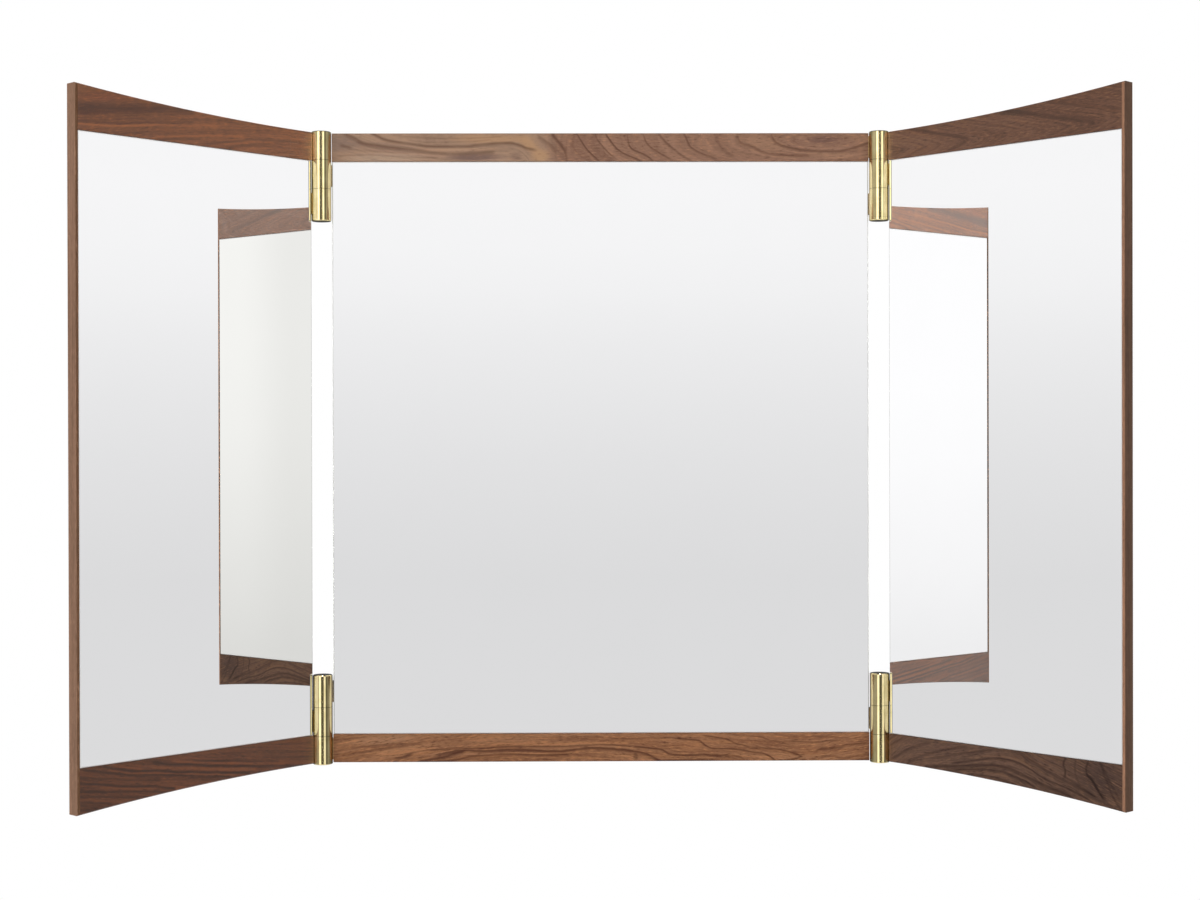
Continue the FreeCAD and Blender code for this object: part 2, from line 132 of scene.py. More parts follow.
class GlassSettings(PropertyGroup):
    """Colours and sizes of the mirror glass."""

    silver: colour("Silver", "Tint of the silvered face", 251, 252, 249)
    # The centre and wing edge colours are a painted reflection: a darker line along the upright edges that
    # stands in for the edges reflecting darker surroundings, lighter on the centre than on the wings.
    centre_edge: colour("Centre edge", "Dull line along the centre sheet's upright edges", 225, 226, 222)
    wing_edge: colour("Wing edge", "Dull line along the wing sheets' upright edges", 172, 174, 166)
    # The arris colour is a painted highlight: the bright line that the sheets' edges catch.
    arris_highlight: colour("Arris", "Bright line round the face of each sheet", 252, 253, 252)
    cut_edge: colour("Cut edge", "Green of the ground glass edge", 150, 164, 153)
    edge_width: length("Edge width", "Width of the dull line along the edges", 1.3)


class BrassSettings(PropertyGroup):
    """Colours and finish of the hinges."""

    gold: colour("Gold", "Brass where it is freshly polished", 237, 220, 168)
    # The ear colour is darkened as painted shade of the narrow gaps beside the barrels.
    shaded_ear: colour("Ear", "Unpolished brass of the ears beside the barrel", 150, 126, 82)
    olive: colour("Olive", "Brass where it has dulled", 200, 180, 120)
    # The flank colour is painted shade of the crevices between the barrels and the panels.
    shaded_flank: colour("Flank", "Brass of the barrels' flanks beside the panels", 104, 88, 58)
    roughness: FloatProperty(
        name="Roughness", description="Roughness of the polished barrels", default=0.07,
        subtype="FACTOR", min=0.0, max=1.0)


class HangerSettings(PropertyGroup):
    """Colours of the keyhole plates and sizes of their screws."""

    zinc: colour("Zinc", "Zinc plating", 206, 207, 204)
    dull_zinc: colour("Dull zinc", "Zinc plating where it has dulled", 168, 169, 166)
    head: length("Head", "Diameter of the screw heads", 5.4)
    shank: length("Shank", "Diameter of the screw shanks", 3.0)
    recess: length("Recess", "Depth of the cross recess", 1.4)


class StageSettings(PropertyGroup):
    """Colours and sizes of the studio."""

    floor: colour("Floor", "Colour of the floor", 244, 244, 243)
    floor_drop: FloatProperty(
        name="Floor drop", description="Height of the mirror's middle above the floor", default=1.45,
        subtype="DISTANCE", unit="LENGTH", min=0.5)
    floor_radius: FloatProperty(
        name="Floor radius", description="Radius of the round floor", default=3.4,
        subtype="DISTANCE", unit="LENGTH", min=1.0)
    ambient: FloatProperty(
        name="Ambient", description="Light that comes evenly from all round", default=0.55,
        subtype="FACTOR", min=0.0, max=1.0)
    lamp_power: FloatProperty(
        name="Lamp power", description="Power of the soft lamp above the front", default=46.0,
        subtype="POWER", unit="POWER", min=0.0)


class MirrorSettings(PropertyGroup):
    """All settings of the vanity mirror."""

    walnut: PointerProperty(type=WalnutSettings)
    glass: PointerProperty(type=GlassSettings)
    brass: PointerProperty(type=BrassSettings)
    hanger: PointerProperty(type=HangerSettings)
    stage: PointerProperty(type=StageSettings)


class Flow:
    """A value on its way through a node tree. Python's arithmetic on it adds Math nodes."""

    def __init__(self, tree, socket=None):
        self.tree = tree
        self.socket = socket

    def node(self, kind, settings=None, sockets=None, output=0):
        """Add a node: its settings first, then the values or links of its sockets."""
        made = self.tree.nodes.new(kind)
        for name, value in (settings or {}).items():
            if name == "stops":
                set_stops(made.color_ramp, value)
            elif name == "points":
                set_points(made.mapping, value)
            else:
                setattr(made, name, value)
        for key, value in (sockets or {}).items():
            if isinstance(value, Flow):
                self.tree.links.new(value.socket, made.inputs[key])
            else:
                made.inputs[key].default_value = value
        return Flow(self.tree, made.outputs[output] if made.outputs else None)

    def out(self, name):
        """Another output of the node that this value comes from."""
        return Flow(self.tree, self.socket.node.outputs[name])

    def math(self, operation, *values):
        """A Math node of the given kind on the given values."""
        return self.node("ShaderNodeMath", {"operation": operation}, dict(enumerate(values)))

    def __add__(self, other):
        return self.math("ADD", self, other)

    __radd__ = __add__

    def __sub__(self, other):
        return self.math("SUBTRACT", self, other)

    def __rsub__(self, other):
        return self.math("SUBTRACT", other, self)

    def __mul__(self, other):
        return self.math("MULTIPLY", self, other)

    __rmul__ = __mul__

    def __truediv__(self, other):
        return self.math("DIVIDE", self, other)

    def __abs__(self):
        return self.math("ABSOLUTE", self)

    def rise(self, low, high):
        """Go smoothly from 0 at low to 1 at high."""
        sockets = {"Value": self, "From Min": low, "From Max": high}
        return self.node("ShaderNodeMapRange", {"interpolation_type": "SMOOTHSTEP"}, sockets)

    def along(self, direction, start=0.0):
        """How far this place lies along a direction, in millimetres, from a start."""
        sockets = {0: self, 1: Vector(direction) / MM}
        dot = self.node("ShaderNodeVectorMath", {"operation": "DOT_PRODUCT"}, sockets, "Value")
        return dot - start

    def mix(self, first, second):
        """Blend two colours, with this value as the share of the second."""
        settings = {"data_type": "RGBA", "clamp_factor": True}
        return self.node("ShaderNodeMix", settings, {0: self, 6: opaque(first), 7: opaque(second)}, 2)

    def noise(self, x, y, z, detail=2.0, roughness=0.5):
        """Soft noise from 0 to 1 at a place made of three values."""
        place = self.node("ShaderNodeCombineXYZ", None, {0: x, 1: y, 2: z})
        sockets = {"Vector": place, "Scale": 1.0, "Detail": detail, "Roughness": roughness}
        return self.node("ShaderNodeTexNoise", None, sockets)

    def grains(self, places, sizes, detail, roughness):
        """Soft noise whose grains have the given sizes along three values, in millimetres."""
        return self.noise(*(place / size for place, size in zip(places, sizes)), detail, roughness)

    def curve(self, points):
        """A smooth curve through given points, read at this value."""
        first, last = points[0][0], points[-1][0]
        low, high = min(y for _, y in points), max(y for _, y in points)
        share = [((x - first) / (last - first), (y - low) / (high - low)) for x, y in points]
        way = (self - first) / (last - first)
        read = self.node("ShaderNodeFloatCurve", {"points": share}, {"Value": way})
        return read * (high - low) + low


def opaque(value):
    """A colour with its fourth number, or a link as it is."""
    return value if isinstance(value, Flow) else (*value, 1.0)


def set_stops(ramp, stops):
    """Give a colour ramp its stops."""
    while len(ramp.elements) > 1:
        ramp.elements.remove(ramp.elements[0])
    ramp.elements[0].position = stops[0][0]
    ramp.elements[0].color = opaque(stops[0][1])
    for position, value in stops[1:]:
        ramp.elements.new(position).color = opaque(value)


def set_points(mapping, points):
    """Give a float curve its points."""
    line = mapping.curves[0].points
    line[0].location = points[0]
    line[-1].location = points[-1]
    for x, y in points[1:-1]:
        line.new(x, y)
    for point in line:
        point.handle_type = "AUTO_CLAMPED"
    mapping.update()


def new_material(name):
    """An empty material and the start of its node tree."""
    material = bpy.data.materials.new(name)
    material.use_nodes = True
    material.node_tree.nodes.clear()
    return material, Flow(material.node_tree)


def surface(start, sockets):
    """Close a tree with a Principled surface."""
    shader = start.node("ShaderNodeBsdfPrincipled", None, sockets)
    start.node("ShaderNodeOutputMaterial", None, {"Surface": shader})


def bump(start, height, distance):
    """A bumped normal from a height between 0 and 1 and a depth in millimetres."""
    sockets = {"Strength": 1.0, "Distance": distance * MM, "Height": height}
    return start.node("ShaderNodeBump", None, sockets)


AXES = ((1.0, 0.0, 0.0), (0.0, 1.0, 0.0), (0.0, 0.0, 1.0))


def object_place(start, origin=(0.0, 0.0, 0.0)):
    """Object coordinates x, y and z in millimetres, from an origin in metres."""
    place = start.node("ShaderNodeTexCoord", None, None, "Object")
    return [place.along(axis, shift / MM) for axis, shift in zip(AXES, origin)]


def dress(node, material):
    """Give a CAD node a material in every slot."""
    slots = frame["nodes"][node].material_slots
    for slot in slots:
        slot.link = "OBJECT"
        slot.material = material


class Board:
    """A panel's own axes: along it from its start, up it, and back from its front face."""

    def __init__(self, start, along, back):
        self.along = Vector(along)
        self.back = Vector(back)
        self.start = self.along.dot(start) / MM
        self.front = self.back.dot(start) / MM

    def read(self, flow):
        """The values along, up and back at each point, in millimetres."""
        place = flow.node("ShaderNodeTexCoord", None, None, "Object")
        up = place.along(AXES[2])
        return place.along(self.along, self.start), up, place.along(self.back, self.front)

    def reach(self, node):
        """How far a node reaches along the panel, in millimetres."""
        spots = [self.along.dot(v.co) / MM - self.start for v in frame["nodes"][node].data.vertices]
        return min(spots), max(spots)

    def depth(self, node):
        """How far a node's nearest point lies behind the panel's front face, in millimetres."""
        return min(self.back.dot(v.co) / MM - self.front for v in frame["nodes"][node].data.vertices)


# The wings' front faces lie this far behind the hinge axes.
AXIS_LEAD = 2.0


def panel_of(name):
    """The axes of the centre panel, or of the wing on that side, which start at its hinge axis."""
    if name == "centre":
        low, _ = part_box("centre_top_rail")
        return Board(Vector((0.0, low[1], 0.0)), AXES[0], AXES[1])
    joint = next(j for j in frame["joints"] if j["name"] == f"{name}_wing_hinge")
    side = -1.0 if name == "left" else 1.0
    turn = math.radians(-joint["range_deg"][0])
    along = Vector((side * math.cos(turn), -math.sin(turn), 0.0))
    back = Vector((side * math.sin(turn), math.cos(turn), 0.0))
    return Board(Vector(joint["pos_m"]) + back * AXIS_LEAD * MM, along, back)


# Wide arch of the centre's top rail: place along the rail and height of its ring, in millimetres.
TOP_ARCH = (
    (-290, 346), (-262, 336), (-241, 329), (-220, 323), (-206, 321), (-178, 318), (-158, 317), (-120, 319),
    (-106, 320), (-94, 319.6), (-86, 317), (-80, 312), (-75, 304), (-68, 292), (-58, 270))
# Eye of the same rail, the stretch and reach of its ovals, and the ring of the arch that they meet.
EYE_ALONG, EYE_UP, EYE_STRETCH, EYE_REACH, ARCH_RING = 236, 328, 4.2, 76.5, 80
OVAL_SOFTNESS, ARCH_SOFTNESS = 4.0, 3.0
# Arrow heads of the right wing's top rail: place of the tip, its rounding, and how fast they widen.
TIP_ALONG, TIP_UP, TIP_ROUNDING, TIP_SLOPE = 115, 314, 3, 0.24
# Lie of the grain in the other rails: place along the rail, in a wing from the hinge outwards, and rise.
LIES = {
    "centre_bottom": (
        (-290, -23), (-230, -13.5), (-180, -5.5), (-140, -1), (-100, 1), (-60, 1.2), (0, 0), (40, -3),
        (70, -6), (120, -8), (150, -11), (190, -15), (215, -17), (250, -13), (290, -7)),
    "left_top": ((0, 354), (70, 351), (130, 346), (186, 339), (246, 331), (300, 322)),
    "left_bottom": (
        (0, -41), (56, -34.6), (96, -29.8), (136, -25), (176, -20), (216, -14.5), (256, -8), (300, 1)),
    "right_bottom": (
        (0, -356), (20, -343), (40, -334), (60, -329), (85, -326), (110, -322), (130, -318), (156, -314),
        (175, -316.5), (190, -321.5), (205, -327.5), (225, -333), (250, -341), (270, -348), (300, -358)),
}


def rail_figure(name, u, z):
    """The figure of a rail's wood: a value that stays the same along each of its rings."""
    if name == "centre_top":
        # Long ovals round an eye near the right end, and a wide low arch on the left.
        across = u.math("SMOOTH_MIN", abs(u - EYE_ALONG) / EYE_STRETCH, EYE_REACH, OVAL_SOFTNESS)
        oval = u.math("SQRT", across * across + (z - EYE_UP) * (z - EYE_UP))
        return u.math("SMOOTH_MAX", oval, ARCH_RING + u.curve(TOP_ARCH) - z, ARCH_SOFTNESS)
    if name == "right_top":
        # Faint arrow heads that point outwards.
        flare = u.math("SQRT", (z - TIP_UP) * (z - TIP_UP) + TIP_ROUNDING ** 2)
        return flare + (u - TIP_ALONG) * TIP_SLOPE
    return z - u.curve(LIES[name])


# Dark ring lines of each rail: strength, half widths above and below in millimetres, points.
RING_LINES = {
    "centre_top": (
        (0.62, 2.8, 4.6, ((-274, 335), (-262, 330), (-250, 324), (-232, 321), (-205, 318), (-190, 316),
            (-175, 314), (-150, 313.5), (-128, 314.6), (-112, 315))),
        (0.3, 1.6, 2.0, ((-280, 311), (-250, 312), (-225, 311), (-200, 309.5), (-172, 309))),
        (0.28, 1.4, 1.8, ((-222, 333), (-190, 330.5), (-160, 329.5), (-130, 330), (-104, 332))),
        (0.24, 1.4, 1.6, ((-206, 328), (-176, 325.6), (-146, 325.8), (-116, 328))),
        (0.24, 1.4, 1.6, ((-270, 318), (-246, 316.4), (-224, 314.8), (-204, 313.6))),
        (0.7, 2.4, 3.2, ((-246, 337), (-236, 331.5), (-228, 328), (-215, 325.5), (-200, 323.5),
            (-175, 321), (-145, 321), (-130, 322.5), (-105, 324.5), (-97, 324.6), (-90, 323.4),
            (-84, 321.5), (-78, 319), (-68, 317))),
        (0.54, 3.1, 3.1, ((-278, 322), (-264, 319.5))),
        (0.43, 1.6, 6.2, ((-68, 333), (-58, 326.5), (-51, 321), (-47.5, 316), (-46, 305))),
        (0.92, 3.2, 3.2, ((-54, 338), (-50, 332), (-45, 326), (-40, 319.5), (-36.5, 313), (-35, 304))),
        (0.86, 1.4, 1.7, ((-27, 338), (-20, 326), (-14, 317.5), (-8, 311.5), (0, 304))),
        (0.65, 1.4, 1.7, ((-7, 338), (-3, 328), (2, 321.5), (6, 317), (11, 312), (16, 309))),
        (0.92, 1.6, 2, ((4, 338), (7, 332), (10, 328), (14, 322.5), (20, 316.5), (28, 311.8),
            (36, 308.6), (46, 304))),
        (0.92, 1.6, 2, ((28, 340), (29.3, 330), (30.5, 323), (33, 319), (38, 316), (45, 313),
            (50, 310.2), (57, 305))),
        (0.7, 1.6, 2, ((44.5, 338), (48, 327), (52, 321.5), (58, 317), (66, 312), (78, 305))),
        (0.65, 1.9, 2.5, ((59, 338), (67, 328.5), (74, 321.5), (80, 316.5), (88, 310.5), (98, 305))),
        (0.7, 1.7, 2.5, ((87, 338), (92, 329), (94, 324), (96, 320.5), (101, 317), (110, 312.5),
            (124, 307.5))),
        (0.32, 3.1, 3.1, ((120, 338), (124, 330), (128, 321), (134, 315), (144, 309))),
        (0.54, 2.8, 3.1, ((144, 340), (147, 329), (151, 323.6), (162, 320.5), (168, 317), (175, 313.8),
            (190, 311.6), (205, 311), (224, 311))),
        (0.76, 2.2, 2.8, ((181, 340), (184, 329), (190, 323.4), (200, 320), (210, 317.6), (222, 316),
            (234, 315.8), (250, 315.6), (262, 317), (272, 320), (288, 325))),
    ),
    "centre_bottom": (
        (0.43, 1.9, 2.8, ((-286, -323.5), (-270, -320.4), (-255, -318.3), (-240, -317.2),
            (-212, -315.5), (-190, -316))),
        (0.49, 1.9, 2.8, ((-286, -326.5), (-268, -325), (-252, -323.6), (-235, -321), (-220, -319),
            (-205, -317.6))),
        (0.38, 2, 2.8, ((-286, -333.5), (-272, -330.5), (-256, -328), (-240, -325.5))),
        (0.38, 1.6, 2.2, ((-286, -311.5), (-265, -309), (-250, -307.6))),
        (0.65, 2.5, 2.8, ((-222, -331.5), (-211, -329.4), (-206, -327), (-200, -325))),
        (0.95, 2.2, 2.5, ((-196, -333.6), (-180, -331.8), (-168, -330), (-161, -327.6), (-154, -325.6),
            (-146, -324.6))),
        (0.86, 1.9, 2.2, ((-200, -335.5), (-178, -334.4), (-158, -333.4), (-148, -331.4), (-138, -329),
            (-125, -328), (-100, -327), (-80, -327.5), (-55, -328), (-34, -327.4))),
        (0.7, 1.4, 1.9, ((-184, -322.4), (-165, -321), (-150, -320), (-130, -320), (-110, -319),
            (-95, -318.5), (-45, -318.5), (-30, -318), (-15, -317.4), (0, -317), (20, -317.8),
            (32, -318.8))),
        (0.95, 1.6, 3.4, ((-176, -328), (-160, -324), (-148, -322.6), (-130, -323.2), (-112, -322.4),
            (-95, -322), (-75, -322.3), (-60, -323.4), (-45, -323.8), (-35, -322.8), (-20, -321),
            (-10, -320.2), (0, -320.5), (10, -321.2), (20, -321.9), (34, -324), (46, -326.2),
            (52, -329), (58, -332), (66, -336))),
        (0.92, 1.6, 2.3, ((33, -319), (44, -320), (54, -321), (62, -321.8), (68, -324.6), (74, -327.3),
            (82, -328.2), (95, -328.5), (108, -328), (122, -329), (137, -328.3))),
        (0.76, 1.9, 2.5, ((58, -334.6), (75, -334), (90, -333.5), (110, -333.5), (122, -334.6))),
        (0.43, 1.4, 1.9, ((8, -311), (34, -310.6), (60, -309.5), (84, -311))),
        (0.92, 1.6, 2, ((80, -310.8), (96, -312), (103, -313), (108, -316), (112, -319), (118, -321.2),
            (126, -321.6), (138, -322), (148, -323), (158, -325), (164, -326), (172, -327),
            (178, -329.5), (182, -332), (187, -336))),
        (0.76, 1.4, 1.9, ((108, -307.6), (124, -309.8), (132, -311), (138, -313.5), (143, -316),
            (150, -317.5), (158, -320), (170, -321), (182, -322), (192, -323.5), (202, -326),
            (210, -328.6), (214, -330.4))),
        (0.7, 1.6, 1.9, ((186, -335), (200, -333.6), (208, -332), (214, -330.2))),
        (0.59, 1.4, 1.9, ((160, -308.4), (170, -309.5), (176, -311.5), (182, -313), (194, -314),
            (208, -314), (220, -314.8), (230, -315), (240, -313.8), (250, -313.4), (258, -311.6))),
        (0.43, 1.4, 1.9, ((226, -309), (245, -309.5), (256, -310.5), (266, -311))),
        (0.65, 1.6, 3.4, ((228, -324.4), (236, -321.6), (246, -321), (254, -320.5), (262, -318),
            (284, -316))),
        (0.54, 1.6, 2.2, ((232, -330), (246, -330), (258, -332), (266, -331), (276, -329),
            (288, -327))),
        (0.59, 1.6, 2.2, ((136, -329.4), (146, -330), (152, -333))),
    ),
    "left_top": (
        (0.85, 7, 9.5, ((158, 340.6), (180, 338.4), (200, 336.4), (220, 334.2), (240, 331.8),
            (260, 329.4), (280, 327), (298, 325.4))),
        (0.54, 1.6, 2.5, ((160, 328), (185, 325), (200, 323), (215, 321), (230, 319), (245, 317),
            (262, 315.5), (280, 314.5), (298, 313))),
        (0.54, 1.6, 2.2, ((10, 322.4), (40, 321.6), (55, 321), (70, 320), (85, 319), (95, 317.5),
            (105, 315), (120, 312.5), (135, 309.5), (152, 306))),
        (0.43, 1.6, 2.2, ((66, 316), (80, 314.5), (92, 312.5), (106, 309.6), (118, 307))),
        (0.49, 1.6, 2.2, ((150, 311.6), (170, 309.6), (185, 308), (204, 305.6))),
        (0.32, 1.6, 2.2, ((96, 333), (130, 333.6), (150, 331), (180, 328.6))),
    ),
    "left_bottom": (
        (0.95, 2, 2.5, ((22, -335), (40, -333), (55, -331.5), (70, -329.5), (85, -328), (100, -326),
            (115, -324.5), (130, -322), (145, -320), (158, -317.5), (170, -315.5), (185, -313.6),
            (200, -311), (214, -308))),
        (0.95, 1.9, 2.3, ((92, -334.6), (105, -332.5), (120, -330.5), (135, -328.5), (150, -326.5),
            (165, -324), (180, -322.5), (190, -320.5), (200, -318.6), (210, -317), (220, -316),
            (230, -315), (240, -313), (250, -310.5), (258, -308.5), (270, -305))),
        (0.86, 1.7, 2.2, ((116, -335.4), (130, -333), (145, -331.5), (158, -329.5), (170, -327.5),
            (180, -325.5), (195, -323.6), (210, -321.6), (225, -320), (235, -318.5), (245, -316),
            (255, -314), (265, -312), (275, -309.5), (292, -306))),
        (0.7, 1.6, 2, ((56, -326.4), (75, -324), (90, -322.5), (105, -320.5), (120, -318.5),
            (135, -316.5), (148, -314.5), (164, -312))),
        (0.95, 1.9, 2.5, ((184, -338), (200, -335), (210, -332.5), (220, -331), (230, -330),
            (240, -328.5), (250, -327), (262, -324.5), (275, -322), (285, -320.5), (298, -318.4))),
        (0.76, 1.6, 2.2, ((198, -339.4), (215, -336.8), (228, -335), (240, -333.5), (250, -332),
            (262, -331), (284, -328), (298, -326.4))),
        (0.65, 1.9, 2.5, ((226, -341.6), (250, -337.6), (275, -334), (298, -331))),
        (0.65, 1.9, 2.5, ((258, -343), (280, -339.4), (298, -336.6))),
        (0.76, 2, 2.5, ((272, -347.6), (284, -346), (298, -344))),
        (0.54, 1.9, 2.5, ((200, -327.6), (225, -324.6), (240, -322.4), (262, -318.4), (280, -315.6),
            (298, -312.8))),
        (0.43, 1.6, 2.2, ((14, -320.6), (50, -317.6), (90, -313.4), (130, -309.4))),
        (0.43, 1.6, 2.2, ((12, -311.6), (40, -309.6), (64, -307.6))),
        (0.38, 1.6, 2.2, ((14, -327), (34, -325), (54, -322.6), (78, -319.4))),
    ),
    "right_top": (
        (0.65, 4, 2.2, ((30, 336), (50, 331.2), (60, 329), (70, 326.5), (82, 323.6), (95, 320.2),
            (105, 318), (116, 314.4))),
        (0.49, 2.2, 2.2, ((88, 306), (100, 308.6), (108, 311.6), (116, 314.6))),
        (0.81, 5.3, 3.1, ((144, 341), (165, 336.6), (180, 333), (195, 330), (205, 327.5), (215, 324.6),
            (225, 322.6), (235, 320.6), (245, 318.2), (255, 315.6), (264, 313.4))),
        (0.49, 2.5, 2.5, ((232, 307.4), (248, 309), (256, 311.6), (264, 313.6))),
        (0.27, 2.2, 2.2, ((120, 330), (150, 324), (180, 318), (206, 312))),
        (0.27, 2.2, 2.2, ((196, 343), (230, 336), (262, 329), (292, 323))),
    ),
    "right_bottom": (
        (0.81, 1.4, 2.2, ((92, -326.6), (110, -323), (125, -319.5), (140, -316.2), (150, -314.9),
            (160, -314.6), (170, -315.6), (180, -318), (190, -322), (200, -326.6), (212, -330.4),
            (225, -333), (240, -337), (256, -342.6))),
        (0.76, 2.2, 3.7, ((56, -334.4), (75, -331.5), (88, -330), (100, -329), (110, -327.2),
            (122, -325), (135, -323.5), (150, -322.2), (160, -322.8), (170, -325), (180, -328),
            (190, -331), (200, -333.5), (215, -337), (238, -343))),
        (0.65, 1.9, 3.1, ((84, -335.6), (100, -332.6), (120, -329.6), (135, -328), (150, -327.8),
            (165, -330), (180, -334), (196, -338.6))),
        (0.65, 1.6, 2.5, ((108, -337.4), (124, -335), (140, -334.4), (156, -336), (174, -339.6))),
        (0.49, 1.6, 2.8, ((66, -324), (85, -320), (100, -316.4), (120, -312), (144, -307.4))),
        (0.54, 1.9, 2.8, ((14, -331), (22, -327), (32, -320.6), (42, -315.6), (52, -312),
            (66, -308.4))),
        (0.49, 1.9, 2.8, ((34, -333.6), (46, -327.4), (60, -321), (76, -316), (96, -310.6),
            (112, -307))),
        (0.43, 1.9, 2.8, ((12, -318), (20, -312.6), (30, -308))),
        (0.49, 1.9, 2.8, ((176, -308.6), (190, -312), (206, -319.6), (222, -326), (240, -331),
            (262, -338.6))),
        (0.54, 2, 2.8, ((228, -324), (240, -328.4), (252, -333.4), (266, -340))),
        (0.65, 2, 2.8, ((252.4, -318.4), (258, -322), (262, -326.6), (268, -333.6), (276, -341))),
        (0.49, 2, 2.5, ((268, -304), (274, -314), (281, -325), (290, -338))),
    ),
}

# Dark lines that stand nearly upright, as height and place along the rail.
UPRIGHT_LINES = {
    "right_bottom": (
        (0.8, 2.0, 2.0, ((-326, 226.6), (-323, 228.6), (-318, 229), (-312, 227), (-306, 229),
            (-302, 229.6))),
        (0.8, 2.0, 2.0, ((-342, 273), (-333, 266), (-327, 262), (-322, 257.6), (-319, 254),
            (-313, 252.6), (-307, 254.4), (-302, 255))),
        (0.5, 2.2, 2.2, ((-348, 291), (-336, 282), (-325, 277), (-314, 271.6), (-302, 267))),
        (0.4, 2.0, 2.0, ((-330, 246), (-322, 241.6), (-314, 240), (-302, 241.6))),
    ),
}

# Golden lines beside the dark ones.
GOLD_LINES = {
    "left_top": (
        (0.76, 2, 2, ((206, 318.6), (220, 317), (235, 315.2), (250, 313.6), (270, 312), (294, 310.6))),
        (0.65, 2.2, 2.2, ((100, 320.4), (120, 318.6), (140, 316.4), (160, 313.8), (180, 311.2),
            (206, 308))),
        (0.54, 2, 2, ((60, 318), (84, 316.4), (104, 312.8), (124, 309))),
        (0.49, 2.2, 2.2, ((130, 327), (160, 324), (190, 321), (210, 319.6))),
    ),
    "left_bottom": (
        (0.81, 2, 2, ((44, -330.6), (70, -327.2), (100, -323.4), (130, -319.6), (158, -315.6),
            (190, -309.8))),
        (0.81, 2.5, 2.5, ((84, -331), (110, -328.6), (140, -324.6), (165, -321), (190, -317.4),
            (215, -312.8))),
        (0.7, 1.6, 1.6, ((112, -333.6), (140, -329.8), (165, -326), (190, -322.4), (215, -318.8),
            (240, -315.6), (262, -310))),
        (0.65, 1.6, 1.6, ((222, -313.4), (238, -310.8), (256, -306.4))),
        (0.54, 1.9, 1.9, ((208, -335), (226, -332.6), (246, -330), (270, -326))),
    ),
    "right_bottom": (
        (0.59, 1.9, 1.9, ((120, -318), (140, -313.6), (154, -312.4), (168, -313), (182, -316.4),
            (194, -321))),
        (0.43, 1.9, 1.9, ((100, -334), (124, -331.6), (146, -331), (164, -333))),
    ),
    "centre_bottom": (
        (0.54, 2, 2, ((-120, -316.4), (-90, -315.8), (-50, -316), (-10, -314.8), (30, -315.4))),
        (0.49, 1.9, 1.9, ((-236, -326.8), (-214, -325), (-196, -321.6), (-176, -319.6))),
        (0.43, 1.9, 1.9, ((-100, -325.6), (-60, -326.2), (-24, -325.4))),
    ),
}

# Soft patches: place along and up, half length, half height, slant, strength and tone.
PATCHES = {
    "centre_top": (
        (-286, 324, 40, 16, 0.0, 0.65, (122, 104, 95)),
        (-232, 309, 56, 7, 0.0, 0.6, (170, 147, 127)),
        (-116, 329, 62, 7, 0.0, 0.55, (180, 141, 104)),
        (-64, 311, 14, 10, 0.0, 0.75, (180, 142, 106)),
        (-76, 323, 15, 10, -0.5, 0.65, (180, 141, 104)),
        (-236, 321, 60, 6, -0.12, 0.45, (120, 97, 86)),
        (-150, 317.6, 70, 2.6, 0.02, 0.4, (174, 139, 110)),
        (-190, 331, 40, 3, 0.0, 0.3, (142, 112, 92)),
        (-134, 309.5, 42, 6, 0.0, 0.85, (108, 87, 80)),
        (-90, 310, 9, 6, 0.0, 0.5, (118, 94, 82)),
        (238, 328, 26, 7.5, 0.0, 0.75, (102, 76, 68)),
        (174, 324, 34, 10, -0.1, 0.4, (160, 124, 98)),
        (250, 311, 44, 4, 0.0, 0.4, (164, 128, 102)),
    ),
    "centre_bottom": (
        (-232, -311, 50, 8, 0.05, 0.55, (168, 127, 96)),
        (-209, -328.4, 11, 3.4, 0.25, 0.55, (84, 58, 48)),
        (-168, -329.6, 26, 5.4, 0.2, 0.65, (84, 56, 46)),
        (-96, -323.4, 52, 2.6, 0.0, 0.55, (88, 56, 46)),
        (36, -330, 4, 5, 0.0, 0.65, (72, 44, 32)),
        (94, -318, 24, 9, 0.0, 0.4, (158, 108, 74)),
        (244, -323.4, 17, 3.6, 0.02, 0.5, (98, 62, 46)),
        (222, -324, 18, 6, 0.0, 0.35, (156, 106, 72)),
    ),
    "left_top": (
        (252, 341, 54, 6, -0.12, 0.65, (134, 84, 62)),
        (290, 345, 18, 6, -0.1, 0.5, (142, 104, 70)),
        (272, 322, 120, 60, 0.0, 0.3, (88, 59, 47)),
        (60, 322, 120, 60, 0.0, 0.3, (138, 97, 71)),
        (284, 326, 30, 9, -0.1, 0.5, (70, 48, 42)),
    ),
    "left_bottom": (
        (60, -317, 66, 9, 0.1, 0.35, (96, 68, 54)),
    ),
    "right_top": (
        (166, 336, 28, 6, -0.12, 0.75, (74, 60, 52)),
        (44, 320, 40, 9, -0.1, 0.4, (126, 97, 82)),
        (272, 318, 16, 9, 0.0, 0.35, (124, 92, 76)),
        (262, 324, 110, 60, 0.0, 0.35, (94, 67, 55)),
        (30, 313, 8, 4, 0.0, 0.4, (92, 72, 66)),
    ),
    "right_bottom": (
        (270, -322, 40, 26, 0.0, 0.6, (66, 52, 48)),
        (70, -322, 100, 40, 0.0, 0.4, (108, 82, 68)),
    ),
}


# Drawn lines fade from this far outside their ends to this far inside, in millimetres.
FADE_OUTSIDE, FADE_INSIDE = 2, 4
# Share of its half size up to which a patch has its full strength.
PATCH_CORE = 0.25


